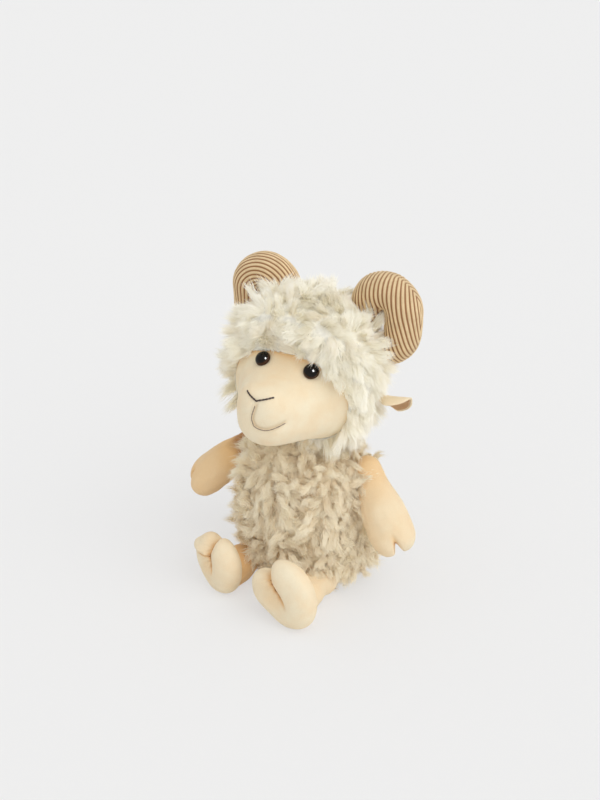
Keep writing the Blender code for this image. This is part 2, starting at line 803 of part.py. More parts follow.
def build_legs(skin, filling):
    """Two short legs lying forward, each ending in an upright cloven foot."""
    splays = {1: left_leg_splay, -1: right_leg_splay}
    turns = {1: left_foot_turn, -1: right_foot_turn}
    leans = {1: left_foot_lean, -1: right_foot_lean}
    for side in (1, -1):
        name = side_name(side)
        centre = mirrored((hip_across, -hip_forward, hip_height), side)
        pivot = add_pivot(f"hip_{name}", centre)
        heading = Vector((sin(splays[side]) * side, -cos(splays[side]), 0))
        turn = frame_along(heading, (1, 0, 0)).to_4x4()

        def leg(segments, swell):
            mesh = limb_form(segments, leg_root_radius, leg_length, leg_girth, LEG_SHARES, swell)
            bmesh.ops.transform(mesh, matrix=turn, verts=mesh.verts)
            return mesh

        foot_place = (
            Matrix.Translation(heading * leg_length - Vector((0, 0, hip_height)))
            @ Matrix.Rotation(turns[side], 4, "Z")
            @ Matrix.Translation((0, 0, foot_height / 2))
            @ Matrix.Rotation(leans[side], 4, "Y")
            @ Matrix.Translation((0, 0, -foot_height / 2))
        )

        def foot(segments, rows, swell):
            mesh = foot_form(segments, rows, swell)
            bmesh.ops.transform(mesh, matrix=foot_place, verts=mesh.verts)
            return mesh

        cover = add_piece(f"leg_{name}", leg(14, 0), CREAM_VELOUR, pivot)
        inner = add_cutter(f"leg_inner_{name}", leg(8, -velour), pivot)
        mouth = rod(leg_root_radius / 2, -leg_root_radius - overrun, 0, 10)
        bmesh.ops.transform(mouth, matrix=turn, verts=mouth.verts)
        foot_seat = add_cutter(f"foot_seat_{name}", foot(18, 9, seat_gap), pivot)
        cut(cover, inner, add_cutter(f"leg_mouth_{name}", mouth, pivot), foot_seat)
        wad = add_piece(f"leg_stuffing_{name}", leg(8, -velour - seat_gap), FIBRE, pivot)
        cut(wad, foot_seat)
        shell = flattened(foot(18, 9, 0), -hip_height)
        shell = add_piece(f"foot_{name}", shell, CREAM_VELOUR, pivot)
        foot_inner = add_cutter(f"foot_inner_{name}", foot(10, 6, -velour), pivot)
        ankle = rod(leg_girth / 2, 0, leg_length, 10)
        bmesh.ops.transform(ankle, matrix=turn, verts=ankle.verts)
        cleft = wedge(foot_cleft_width, foot_cleft_depth, foot_half_thickness)
        bmesh.ops.translate(cleft, verts=cleft.verts, vec=(0, 0, foot_height - foot_cleft_depth))
        bmesh.ops.transform(cleft, matrix=foot_place, verts=cleft.verts)
        room = wedge(foot_cleft_width + 2 * (velour + seat_gap), foot_cleft_depth + velour, foot_half_thickness)
        bmesh.ops.translate(room, verts=room.verts, vec=(0, 0, foot_height - foot_cleft_depth - velour))
        bmesh.ops.transform(room, matrix=foot_place, verts=room.verts)
        cut(shell, foot_inner, add_cutter(f"ankle_{name}", ankle, pivot))
        cut(shell, add_cutter(f"foot_cleft_{name}", cleft, pivot))
        stuffing = add_piece(f"foot_stuffing_{name}", foot(10, 6, -velour - seat_gap), FIBRE, pivot)
        cut(stuffing, add_cutter(f"foot_room_{name}", room, pivot))
        socket = add_cutter(f"leg_socket_{name}", ball(leg_root_radius + joint_gap, centre, 16))
        cut(skin, socket)
        cut(filling, socket)


def main():
    clear_scene()
    skin, filling = build_torso()
    neck = add_pivot("neck_pivot", (0, -neck_forward, neck_height), head_turn)
    build_neck(neck)
    head = add_pivot("skull_middle", (0, 0, head_height - neck_height), parent=neck)
    head_filling, face, hood = build_head(head)
    surface = face_surface()
    build_eyes(head, surface, head_filling, face)
    build_threads(head, surface)
    build_horns(head)
    build_ears(head, hood)
    build_arms(skin)
    build_legs(skin, filling)


main()
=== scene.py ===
"""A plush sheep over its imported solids: fleece of real locks, velour limbs, corduroy horns and a sewn face."""

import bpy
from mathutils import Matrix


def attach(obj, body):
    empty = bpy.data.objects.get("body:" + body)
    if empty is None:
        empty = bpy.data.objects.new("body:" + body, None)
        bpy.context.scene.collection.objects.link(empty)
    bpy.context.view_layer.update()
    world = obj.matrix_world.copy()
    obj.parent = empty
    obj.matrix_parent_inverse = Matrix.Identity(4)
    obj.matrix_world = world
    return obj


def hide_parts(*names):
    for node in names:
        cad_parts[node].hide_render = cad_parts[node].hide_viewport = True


bl_info = {
    "name": "Plush Sheep",
    "version": (1, 0, 0),
    "blender": (4, 5, 0),
    "location": "View3D > Sidebar > Plush Sheep",
    "description": "Builds the visible skins, threads, eyes and fleece of a sitting plush sheep",
    "category": "Object",
}

from math import acos, asin, atan2, copysign, cos, pi, radians, sin, sqrt

import bmesh
import bpy
import numpy as np
from mathutils import Matrix, Vector
from mathutils.bvhtree import BVHTree
from mathutils.kdtree import KDTree

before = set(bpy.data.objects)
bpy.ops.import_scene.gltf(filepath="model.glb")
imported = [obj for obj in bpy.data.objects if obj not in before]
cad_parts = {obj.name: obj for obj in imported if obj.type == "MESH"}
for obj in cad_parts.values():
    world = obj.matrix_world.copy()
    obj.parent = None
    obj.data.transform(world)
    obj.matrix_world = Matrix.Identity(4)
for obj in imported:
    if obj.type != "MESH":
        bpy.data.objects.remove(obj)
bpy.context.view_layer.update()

# The head's own frame, turned a little to the sheep's left on its neck
HEAD = Matrix.Translation((0, -0.008, 0.158)) @ Matrix.Rotation(radians(7), 4, "Z")
SIDES = {"left": 1, "right": -1}
# How far the velour stands out from the head's stuffed form
VELOUR = 0.0019
# The head's half width, half height, length, its back, and how full its section is
HEAD_WIDTH, HEAD_HEIGHT, HEAD_LENGTH, HEAD_BACK, HEAD_FULLNESS = 0.041, 0.042, 0.109, 0.041, 2.35

# Shares along the head from its back to the nose: station, half width, top and bottom
HEAD_SHARES = (
    (0.000, 0.00, 0.04, 0.04),
    (0.035, 0.42, 0.40, -0.36),
    (0.120, 0.76, 0.76, -0.72),
    (0.250, 0.96, 0.97, -0.93),
    (0.390, 1.02, 1.00, -0.99),
    (0.500, 1.02, 0.82, -0.96),
    (0.575, 0.97, 0.52, -0.90),
    (0.640, 0.82, 0.38, -0.84),
    (0.720, 0.69, 0.31, -0.78),
    (0.805, 0.57, 0.28, -0.72),
    (0.885, 0.46, 0.27, -0.66),
    (0.945, 0.35, 0.21, -0.58),
    (0.983, 0.21, 0.08, -0.42),
    (1.000, 0.00, -0.12, -0.12),
)


def size_value(name, description, default):
    """A property that holds a length."""
    return bpy.props.FloatProperty(name=name, description=description, default=default, unit="LENGTH")


def colour_value(name, description, default):
    """A property that holds a colour."""
    return bpy.props.FloatVectorProperty(
        name=name, description=description, default=default, size=3, subtype="COLOR"
    )


class SheepSizes(bpy.types.PropertyGroup):
    """Sizes of the cloth, the fleece and the threads."""

    body_lock: size_value("Body lock", "Length of a curled lock on the body", 0.0170)
    head_lock: size_value("Head lock", "Length of a tuft on the head", 0.0150)
    wale: size_value("Wale", "Distance between the ridges of the horns' corduroy", 0.0031)
    eye: size_value("Eye", "Radius of an eye's dome", 0.0053)
    fill: bpy.props.FloatProperty(
        name="Fill", description="How full the stuffed pieces are", default=0.75, min=0, max=1, subtype="FACTOR"
    )


class SheepColours(bpy.types.PropertyGroup):
    """Colours of the cloths and of the floor."""

    velour: colour_value("Velour", "Cream pile of the face, arms and legs", (0.88, 0.78, 0.58))
    # This colour gives the velour's random mottle and also its painted shade in creases, in clefts and under the
    # fleece.
    velour_mottle_and_shade: colour_value("Velour in folds", "Warmer pile where the velour turns in", (0.82, 0.51, 0.215))
    body_fleece: colour_value("Body fleece", "Tips of the body's locks", (0.93, 0.87, 0.70))
    head_fleece: colour_value("Head fleece", "Tips of the head's tufts", (0.985, 0.975, 0.90))
    wale: colour_value("Wale", "Ridges of the corduroy", (0.70, 0.53, 0.31))
    # The groove colour is painted shade between the corduroy's ridges.
    groove: colour_value("Groove", "Stripes between the ridges", (0.30, 0.14, 0.055))
    floor: colour_value("Floor", "Plain pale floor", (0.852, 0.852, 0.852))


def sizes():
    return bpy.context.scene.sheep_sizes


def colours():
    return bpy.context.scene.sheep_colours


# Materials


def look(name):
    """A material made earlier, which stands for the CAD's plain one of the same name."""
    return bpy.data.materials.get(f"{name}_look")


def new_material(name):
    """A material with its shader, and its node tree."""
    made = bpy.data.materials.new(f"{name}_look")
    made.use_nodes = True
    return made, made.node_tree, made.node_tree.nodes["Principled BSDF"]


def node(tree, kind, **values):
    """A shader node with its settings."""
    made = tree.nodes.new(kind)
    for key, value in values.items():
        setattr(made, key, value)
    return made


def noise(tree, scale, detail=3, roughness=0.5):
    """Noise on the piece's own coordinates."""
    made = node(tree, "ShaderNodeTexNoise")
    settle(made, Scale=scale, Detail=detail, Roughness=roughness)
    tree.links.new(node(tree, "ShaderNodeTexCoord").outputs["Object"], made.inputs["Vector"])
    return made.outputs["Fac"]


def ramp(tree, value, *stops):
    """A colour ramp of (place, colour) stops."""
    made = node(tree, "ShaderNodeValToRGB")
    elements = made.color_ramp.elements
    while len(elements) < len(stops):
        elements.new(0.5)
    for element, (place, colour) in zip(elements, stops):
        element.position = place
        element.color = (*colour, 1) if len(colour) == 3 else colour
    tree.links.new(value, made.inputs["Fac"])
    return made.outputs["Color"]


def blend_colours(tree, factor, first, second, mode="MIX"):
    """Mixes two colours, each a value or a socket."""
    made = node(tree, "ShaderNodeMix", data_type="RGBA", blend_type=mode)
    for socket, value in ((made.inputs[0], factor), (made.inputs[6], first), (made.inputs[7], second)):
        if isinstance(value, bpy.types.NodeSocket):
            tree.links.new(value, socket)
        elif isinstance(value, (int, float)):
            socket.default_value = value
        else:
            socket.default_value = (*value, 1)
    return made.outputs[2]


def arithmetic(tree, operation, first, second):
    """One sum on values or sockets."""
    made = node(tree, "ShaderNodeMath", operation=operation)
    for socket, value in zip(made.inputs, (first, second)):
        if isinstance(value, bpy.types.NodeSocket):
            tree.links.new(value, socket)
        else:
            socket.default_value = value
    return made.outputs[0]


def bump(tree, shader, height, distance, strength=1.0):
    """Raises a shader's surface by a height in metres."""
    made = node(tree, "ShaderNodeBump")
    settle(made, Strength=strength, Distance=distance)
    tree.links.new(height, made.inputs["Height"])
    tree.links.new(made.outputs["Normal"], shader.inputs["Normal"])


def settle(made, **values):
    """Sets numbers and colours on a node's own sockets."""
    for key, value in values.items():
        made.inputs[key.replace("_", " ")].default_value = value


def coloured(tree, shader, colour):
    """Gives a shader its colour."""
    tree.links.new(colour, shader.inputs["Base Color"])


def tinted(colour, shares):
    """A colour scaled by one share or by three."""
    return tuple(np.multiply(colour, shares).tolist())


def multiplied(tree, colour, value, *stops, share=1.0):
    """A colour darkened by a ramp of its own."""
    return blend_colours(tree, share, colour, ramp(tree, value, *stops), "MULTIPLY")


def attribute(tree, name):
    """The red, green and blue of a piece's own attribute."""
    made = node(tree, "ShaderNodeAttribute", attribute_name=name)
    split = node(tree, "ShaderNodeSeparateColor")
    tree.links.new(made.outputs["Color"], split.inputs["Color"])
    return split.outputs


def velour_material(name, light, mottle_and_shade):
    """Short brushed pile: mottled, with painted shade in a warmer, darker colour where the painted-shade attribute
    says, and a fine nap that catches light at the edges.
    """
    made, tree, shader = new_material(name)
    painted_shade = attribute(tree, "painted_shade")
    broad = noise(tree, 55, 4, 0.55)
    tone = blend_colours(tree, ramp(tree, broad, (0.35, (0, 0, 0)), (0.70, (0.30, 0.30, 0.30))), light, mottle_and_shade)
    # Painted shade: the colour turns to the shade colour, and the most shaded places darken further.
    tone = blend_colours(tree, painted_shade["Red"], tone, mottle_and_shade)
    tone = multiplied(tree, tone, painted_shade["Red"], (0.88, (1, 1, 1)), (1.0, (0.52, 0.38, 0.28)))
    pile = noise(tree, 2600, 2, 0.6)
    tone = multiplied(tree, tone, pile, (0.30, (0.80, 0.77, 0.73)), (0.62, (1, 1, 1)), share=0.35)
    coloured(tree, shader, tone)
    settle(
        shader, Roughness=0.92, Specular_IOR_Level=0.15, Sheen_Weight=0.25, Sheen_Roughness=0.45,
        Sheen_Tint=(1.0, 0.93, 0.80, 1),
    )
    lay = arithmetic(tree, "ADD", arithmetic(tree, "MULTIPLY", noise(tree, 700, 4, 0.6), 0.6), pile)
    bump(tree, shader, lay, 0.00018, 0.7)
    return made


def fleece_material(name, tip, root):
    """Wool with painted shade towards the roots, deep in the fleece, and a little different from lock to lock."""
    made, tree, shader = new_material(name)
    wool = attribute(tree, "wool")
    half = tuple((low + high) / 2 for low, high in zip(root, tip))
    # Painted shade: the colour runs from the shaded root colour to the tip.
    along = ramp(tree, wool["Red"], (0.0, root), (0.45, half), (0.85, tip))
    locks = ((0.0, (0.97, 0.95, 0.92)), (0.55, (0.99, 0.99, 0.98)), (1.0, (1.0, 1.0, 1.0)))
    tone = multiplied(tree, along, wool["Green"], *locks)
    tone = multiplied(tree, tone, wool["Blue"], (0.0, (0.97, 0.96, 0.95)), (1.0, (1.0, 1.0, 1.0)))
    coloured(tree, shader, tone)
    settle(
        shader, Roughness=0.85, Specular_IOR_Level=0.15, Sheen_Weight=1.0, Sheen_Roughness=0.6,
        Sheen_Tint=(1.0, 0.96, 0.88, 1),
    )
    bump(tree, shader, noise(tree, 1500, 3, 0.6), 0.0001, 0.4)
    return made


def backing_material(name, tone):
    """The knitted ground that the fleece grows from."""
    made, tree, shader = new_material(name)
    dark = tinted(tone, 0.72)
    patch = noise(tree, 240, 4, 0.6)
    coloured(tree, shader, ramp(tree, patch, (0.3, dark), (0.7, tone)))
    settle(shader, Roughness=0.95, Specular_IOR_Level=0.1)
    bump(tree, shader, noise(tree, 900, 4, 0.6), 0.0006, 0.8)
    return made


def corduroy_material(name, ridge, groove):
    """Ribbed cloth with painted shade in the grooves: the lower a place stands between its ridges, the more it
    takes the groove colour.
    """
    made, tree, shader = new_material(name)
    rib = attribute(tree, "rib")
    worn = noise(tree, 160, 4, 0.6)
    pale = tuple(min(1, value * 1.16 + 0.03) for value in ridge)
    top = ramp(tree, worn, (0.30, ridge), (0.72, pale))
    # Painted shade: the groove colour where a place stands low between the ridges.
    groove_shading = ramp(tree, rib["Red"], (0.15, (0, 0, 0)), (0.58, (1, 1, 1)))
    tone = blend_colours(tree, groove_shading, groove, top)
    nap = noise(tree, 2400, 2, 0.6)
    tone = multiplied(tree, tone, nap, (0.3, (0.78, 0.74, 0.70)), (0.62, (1, 1, 1)), share=0.5)
    coloured(tree, shader, tone)
    settle(
        shader, Roughness=0.9, Specular_IOR_Level=0.15, Sheen_Weight=0.2, Sheen_Roughness=0.45,
        Sheen_Tint=(1.0, 0.9, 0.75, 1),
    )
    bump(tree, shader, nap, 0.00015, 0.6)
    return made


def thread_material(name, tone):
    """Twisted cotton, with its strands running round it."""
    made, tree, shader = new_material(name)
    fibres = noise(tree, 3000, 2, 0.6)
    dark = tinted(tone, 0.55)
    coloured(tree, shader, ramp(tree, fibres, (0.35, dark), (0.65, tone)))
    settle(shader, Roughness=0.7, Specular_IOR_Level=0.3, Sheen_Weight=0.1)
    bump(tree, shader, fibres, 0.0001, 0.6)
    return made


def eye_material():
    """Black moulded plastic with a polished dome that turns brown towards its rim."""
    made, tree, shader = new_material("eye_plastic")
    rim = attribute(tree, "rim")
    cloud = noise(tree, 500, 3, 0.5)
    black = ramp(tree, cloud, (0.3, (0.004, 0.003, 0.003)), (0.8, (0.012, 0.008, 0.006)))
    coloured(tree, shader, blend_colours(tree, rim["Red"], black, (0.060, 0.026, 0.014)))
    settle(shader, Roughness=0.08, Specular_IOR_Level=0.18)
    bump(tree, shader, noise(tree, 260, 2, 0.5), 0.00002, 0.3)
    return made


def fibre_material():
    """Loose white polyester, seen only where a skin is opened."""
    made, tree, shader = new_material("polyester_fibre")
    tuft = noise(tree, 420, 6, 0.7)
    coloured(tree, shader, ramp(tree, tuft, (0.3, (0.62, 0.62, 0.60)), (0.7, (0.86, 0.86, 0.84))))
    settle(shader, Roughness=1.0, Specular_IOR_Level=0.1, Sheen_Weight=0.2)
    bump(tree, shader, tuft, 0.001, 0.8)
    return made


def plain_cloth_material(name, tone):
    """A close plain weave."""
    made, tree, shader = new_material(name)
    place = node(tree, "ShaderNodeTexCoord").outputs["Object"]
    weave = [node(tree, "ShaderNodeTexWave", wave_type="BANDS", bands_direction=way) for way in "XY"]
    for yarn in weave:
        settle(yarn, Scale=400)
        tree.links.new(place, yarn.inputs["Vector"])
    grid = arithmetic(tree, "MULTIPLY", *(yarn.outputs["Fac"] for yarn in weave))
    dark = tinted(tone, 0.8)
    coloured(tree, shader, ramp(tree, grid, (0.0, dark), (0.6, tone)))
    settle(shader, Roughness=0.9, Specular_IOR_Level=0.2)
    bump(tree, shader, grid, 0.0002, 0.6)
    return made


def washer_material():
    """Milky moulded plastic with faint flow marks."""
    made, tree, shader = new_material("washer_plastic")
    flow = noise(tree, 320, 3, 0.5)
    coloured(tree, shader, ramp(tree, flow, (0.3, (0.66, 0.66, 0.63)), (0.7, (0.76, 0.76, 0.73))))
    settle(shader, Roughness=0.4)
    bump(tree, shader, flow, 0.00005, 0.4)
    return made


# Shapes


def squared(value, fullness):
    """A sine or cosine drawn out so that a round section becomes a fuller one."""
    return copysign(abs(value) ** (2 / fullness), value)


def face_outward(mesh):
    """Turns every face of a closed form outwards."""
    mesh.normal_update()
    bmesh.ops.recalc_face_normals(mesh, faces=mesh.faces)
    if mesh.calc_volume(signed=True) < 0:
        bmesh.ops.reverse_faces(mesh, faces=mesh.faces)


def frame_along(direction, across):
    """A turn that carries Z to a direction and X as near as it can to another."""
    forward = Vector(direction).normalized()
    side = (Vector(across) - forward * forward.dot(Vector(across))).normalized()
    return Matrix((side, forward.cross(side), forward)).transposed()


def ringed_form(segments, rings, place):
    """A closed form whose rings, poles included, go where place(share of the way, angle) says."""
    mesh = bmesh.new()
    bmesh.ops.create_uvsphere(mesh, u_segments=segments, v_segments=rings, radius=1)
    for point in mesh.verts:
        share = acos(max(-1, min(1, point.co.z))) / pi
        point.co = place(share, atan2(point.co.y, point.co.x))
    face_outward(mesh)
    return mesh


def between(before, start, end, after, t):
    """A value or place between the middle two of four, on a smooth curve through them."""
    return 0.5 * (
        2 * start + (end - before) * t + (2 * before - 5 * start + 4 * end - after) * t ** 2
        + (3 * start - before - 3 * end + after) * t ** 3
    )


def smooth_row(rows, share):
    """A row between the rows of a table, on a smooth curve through them."""
    last = len(rows) - 1
    spot = min(max(share, 0), 1) * last
    index = min(int(spot), last - 1)
    picks = [rows[min(max(index + shift, 0), last)] for shift in (-1, 0, 1, 2)]
    blended = []
    for values in zip(*picks):
        low, high = sorted(values[1:3])
        slack = (high - low) * 0.15
        blended.append(min(max(between(*values, spot - index), low - slack), high + slack))
    return blended


def linked(thing):
    """An object put into the scene."""
    bpy.context.collection.objects.link(thing)
    return thing


def as_data(mesh, name):
    """A bmesh kept as mesh data."""
    data = bpy.data.meshes.new(name)
    mesh.to_mesh(data)
    mesh.free()
    return data


def reshape(data, places):
    """Moves a mesh's vertices to new places."""
    data.vertices.foreach_set("co", np.asarray(places, dtype=np.float32).ravel())
    data.update()


def evaluated(holder):
    """The mesh that an object shows, kept as data in its place."""
    linked(holder)
    made = bpy.data.meshes.new_from_object(holder.evaluated_get(bpy.context.evaluated_depsgraph_get()))
    bpy.data.objects.remove(holder)
    return made


def modified(data, kind, **settings):
    """Mesh data with one modifier applied."""
    holder = bpy.data.objects.new("form", data)
    step = holder.modifiers.new("step", kind)
    for key, value in settings.items():
        setattr(step, key, value)
    return evaluated(holder)


def add_piece(name, data, body, slot, material, smooth=True, instead=()):
    """Makes an object of mesh data, hangs it on what it rides on, gives it its material and hides the parts that
    it stands for.
    """
    if smooth:
        data.shade_smooth()
    data.materials.clear()
    data.materials.append(material)
    piece = linked(bpy.data.objects.new(name, data))
    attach(piece, body)
    if instead:
        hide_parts(*instead)


def paint(data, name, values):
    """Keeps one to three numbers for each vertex as a colour attribute."""
    values = np.atleast_2d(np.asarray(values, dtype=np.float32))
    if values.shape[0] != len(data.vertices):
        values = values.T
    colour = np.ones((len(data.vertices), 4), dtype=np.float32)
    colour[:, :3] = 0
    colour[:, : values.shape[1]] = values
    layer = data.color_attributes.new(name, "FLOAT_COLOR", "POINT")
    layer.data.foreach_set("color", colour.ravel())


def vertex_places(data):
    """A mesh's vertex places as an array."""
    flat = np.empty(len(data.vertices) * 3, dtype=np.float32)
    data.vertices.foreach_get("co", flat)
    return flat.reshape(-1, 3).astype(np.float64)


def vertex_normals(data):
    """A mesh's vertex normals as an array."""
    flat = np.empty(len(data.vertices) * 3, dtype=np.float32)
    data.vertex_normals.foreach_get("vector", flat)
    return flat.reshape(-1, 3).astype(np.float64)


def swollen(mesh, swell):
    """A form grown outwards all over."""
    mesh.normal_update()
    for point, normal in [(point, point.normal.copy()) for point in mesh.verts]:
        point.co += normal * swell
    return mesh


def head_shape(segments, rings, swell):
    """The head's stuffed form: a skull that runs into a broad muzzle, in the head's own frame."""
    def place(share, angle):
        station, width, top, bottom = smooth_row(HEAD_SHARES, share)
        middle, reach = (top + bottom) / 2, (top - bottom) / 2
        x = max(0, width) * HEAD_WIDTH * squared(cos(angle), HEAD_FULLNESS)
        z = (middle + max(0, reach) * squared(sin(angle), HEAD_FULLNESS)) * HEAD_HEIGHT
        return Vector((x, HEAD_BACK - station * HEAD_LENGTH, z))

    return swollen(ringed_form(segments, rings, place), swell)


def opening_share(places):
    """How far across the face opening each place in the head's frame lies: 1 is where the fleece starts."""
    ahead = np.maximum(-places[:, 1], 1e-5) / 0.020
    across = np.abs(places[:, 0]) / ahead / 0.043
    height = np.abs(places[:, 2] / ahead + 0.012) / 0.030
    share = (across ** 2.4 + height ** 2.4) ** (1 / 2.4)
    return np.where(places[:, 1] > -0.002, 9.0, share)


def distance_to_route(places, route):
    """Distance from each place to a line of points."""
    best = np.full(len(places), 9.0)
    for start, end in zip(route, route[1:]):
        start, run = np.array(start), np.array(end) - np.array(start)
        share = np.clip(((places - start) @ run) / (run @ run), 0, 1)
        gap = np.linalg.norm(places - start - share[:, None] * run, axis=1)
        best = np.minimum(best, gap)
    return best


def smooth_step(value, low, high):
    """Rises smoothly from 0 at low to 1 at high."""
    share = np.clip((value - low) / (high - low), 0, 1)
    return share * share * (3 - 2 * share)


def wander(places, size, seed):
    """A soft, repeatable unevenness between about -1 and 1, with lumps of the given size."""
    rng = np.random.default_rng(seed)
    total = np.zeros(len(places))
    for octave in range(3):
        for _ in range(5):
            heading = rng.normal(size=3)
            heading *= 2 ** octave * 2 * pi / size / np.linalg.norm(heading) / 1.6
            total += np.sin(places @ heading + rng.uniform(0, 2 * pi)) / 2 ** octave
    return total / 4.5


def smooth_route(points, steps):
    """Places along a smooth curve through chosen points, ends included."""
    points = [Vector(point) for point in points]
    ends = [2 * points[0] - points[1], *points, 2 * points[-1] - points[-2]]
    spans = zip(ends, ends[1:], ends[2:], ends[3:])
    return [*(between(*span, step / steps) for span in spans for step in range(steps)), points[-1].copy()]


def bell(value, width, power=2):
    """Falls smoothly from 1 at no distance to nothing past about twice the width."""
    return np.exp(-((value / width) ** power))


# Lines of the face, in the head's frame
NOSE_LEFT = ((0.0097, -0.0606, 0.0094), (0.0052, -0.0628, 0.0074), (0.0, -0.0642, 0.0057))
LIP = ((0.0, -0.0655, 0.0035), (-0.0014, -0.0683, -0.0030), (-0.0004, -0.0690, -0.0092))
EYES = {"left": (0.0178, -0.0265, 0.0125), "right": (-0.0152, -0.0270, 0.0122)}
SMILE = (
    (-0.0006, -0.0690, -0.0090), (0.0008, -0.0690, -0.0100), (0.0040, -0.0688, -0.0110),
    (0.0092, -0.0680, -0.0108), (0.0185, -0.0612, -0.0066),
)


def on_surface(tree, points, lift=0.0):
    """Points laid on a surface."""
    laid = []
    for point in points:
        place, normal = tree.find_nearest(Vector(point))[:2]
        laid.append(place + normal * lift)
    return laid


def face_mesh():
    """The velour face with the mouth's stitched grooves pulled in and with its painted shade, in the head's frame.
    """
    mesh = head_shape(176, 150, VELOUR)
    tree = BVHTree.FromBMesh(mesh)
    data = as_data(mesh, "face")
    places, normals = vertex_places(data), vertex_normals(data)
    groove = np.minimum(*(
        distance_to_route(places, [tuple(place) for place in on_surface(tree, smooth_route(line, steps))])
        for line, steps in ((SMILE, 6), (LIP, 4))
    ))
    pull = 0.0009 * bell(groove, 0.0011) + 0.0007 * bell(groove, 0.0040) + 0.00035 * wander(places, 0.020, 3)
    for eye in EYES.values():
        near = np.linalg.norm(places - np.array(tree.find_nearest(Vector(eye))[0]), axis=1)
        pull += 0.0011 * bell(near, 0.0068, 4)
    places -= normals * pull[:, None]
    # Painted shade: darker towards the edge of the fleece, under the fleece on the brow and in the stitched
    # grooves.
    painted_shade = 0.85 * smooth_step(opening_share(places), 0.80, 1.04)
    brow = smooth_step(places[:, 2], 0.006, 0.024) * smooth_step(-places[:, 1], 0.010, 0.030)
    painted_shade = np.clip(painted_shade + 0.22 * brow + 0.25 * bell(groove, 0.0013), 0, 1)
    reshape(data, places)
    paint(data, "painted_shade", painted_shade)
    return data, tree


def build_face():
    """Adds the velour face."""
    velour = velour_material("cream_velour", tuple(colours().velour), tuple(colours().velour_mottle_and_shade))
    data, tree = face_mesh()
    data.transform(HEAD)
    add_piece("face", data, "head", "cream_velour", velour, instead=("face_panel",))
    return tree


def thread_piece(name, route, radius, slot, material, tree):
    """A line of stitches laid on the face: a tube with a dip between one stitch and the next."""
    places = on_surface(tree, route, radius * 0.35)
    curve = bpy.data.curves.new(name, "CURVE")
    curve.dimensions = "3D"
    curve.bevel_depth = radius
    curve.bevel_resolution = 3
    curve.use_fill_caps = True
    spline = curve.splines.new("POLY")
    spline.points.add(len(places) - 1)
    for index, (point, place) in enumerate(zip(spline.points, places)):
        point.co = (*(HEAD @ place), 1)
        point.radius = 0.72 + 0.28 * abs(sin(index * pi / 5)) if 0 < index < len(places) - 1 else 0.45
    data = evaluated(bpy.data.objects.new(name, curve))
    add_piece(name, data, "head", slot, material, instead=(f"{name}_stitches",))


def build_threads(tree):
    """Adds the nose, the line below it and the smile."""
    dark = thread_material("nose_thread", (0.060, 0.028, 0.018))
    grey = thread_material("mouth_thread", (0.34, 0.26, 0.185))
    left = smooth_route(NOSE_LEFT, 14)
    right = [Vector((-point.x, point.y, point.z)) for point in left]
    thread_piece("nose", [*left, *reversed(right[:-1])], 0.00062, "nose_thread", dark, tree)
    for name, line in (("lip", LIP), ("smile", SMILE)):
        thread_piece(name, smooth_route(line, 16), 0.00036, "mouth_thread", grey, tree)


def build_eyes(tree):
    """Adds two glossy domes on their shanks, each with a brown rim."""
    gloss = eye_material()
    radius, shank, back, rise = sizes().eye, 0.0015, -0.0006, 0.0046
    for name in SIDES:
        seat, axis = tree.find_nearest(Vector(EYES[name]))[:2]
        mesh = bmesh.new()
        profile = [(0.0, -0.0099), (shank, -0.0099), (shank, back), (radius * 0.93, back), (radius, 0.0)]
        bends = [pi / 2 * step / 12 for step in range(1, 12)]
        profile += [(radius * cos(bend), rise * sin(bend)) for bend in bends]
        points = [mesh.verts.new((x, 0, z)) for x, z in (*profile, (0.0, rise))]
        for pair in zip(points, points[1:]):
            mesh.edges.new(pair)
        bmesh.ops.spin(
            mesh, geom=mesh.verts[:] + mesh.edges[:], cent=(0, 0, 0), axis=(0, 0, 1), angle=2 * pi, steps=40,
            use_merge=True,
        )
        bmesh.ops.remove_doubles(mesh, verts=mesh.verts, dist=1e-6)
        face_outward(mesh)
        across = np.array([sqrt(point.co.x ** 2 + point.co.y ** 2) / radius for point in mesh.verts])
        rim = smooth_step(across, 0.84, 0.97)
        place = HEAD @ Matrix.Translation(seat + axis * 0.0002) @ frame_along(axis, (1, 0, 0)).to_4x4()
        bmesh.ops.transform(mesh, matrix=place, verts=mesh.verts)
        data = as_data(mesh, f"eye_dome_{name}")
        paint(data, "rim", rim)
        add_piece(f"eye_dome_{name}", data, "head", "eye_plastic", gloss, instead=(f"eye_{name}",))


# Arms, legs and feet

# Shares along a limb: station and girth, after the ball at its root
ARM_SHARES = (
    (0.10, 0.69), (0.20, 0.76), (0.33, 0.88), (0.47, 0.98), (0.64, 1.00), (0.78, 0.97), (0.89, 0.82),
    (0.965, 0.50), (1.00, 0.00),
)
LEG_SHARES = ((0.20, 0.80), (0.33, 0.94), (0.48, 1.02), (0.68, 1.00), (0.84, 0.96), (0.98, 0.86), (1.00, 0.00))

# The radius of the ball at an arm's and a leg's root, and the limb's length and half thickness
ARM_ROOT, ARM_LENGTH, ARM_GIRTH = 0.0095, 0.062, 0.0138
LEG_ROOT, LEG_LENGTH, LEG_GIRTH = 0.0110, 0.039, 0.0126
# The left hip's place, and the height of the middle of a foot
HIP = (0.029, -0.031, 0.0125)
FOOT_MIDDLE = 0.025
# Each arm's side and shoulder, and the degrees that it droops and points forward
ARMS = {
    "left": (1, (0.0445, 0.0005, 0.0915), 47, 24),
    "right": (-1, (-0.0445, -0.0080, 0.0885), 43, 30),
}
# Each leg's side, its splay and its foot's lean in degrees
LEGS = {"left": (1, 0, -29), "right": (-1, 1, -14)}


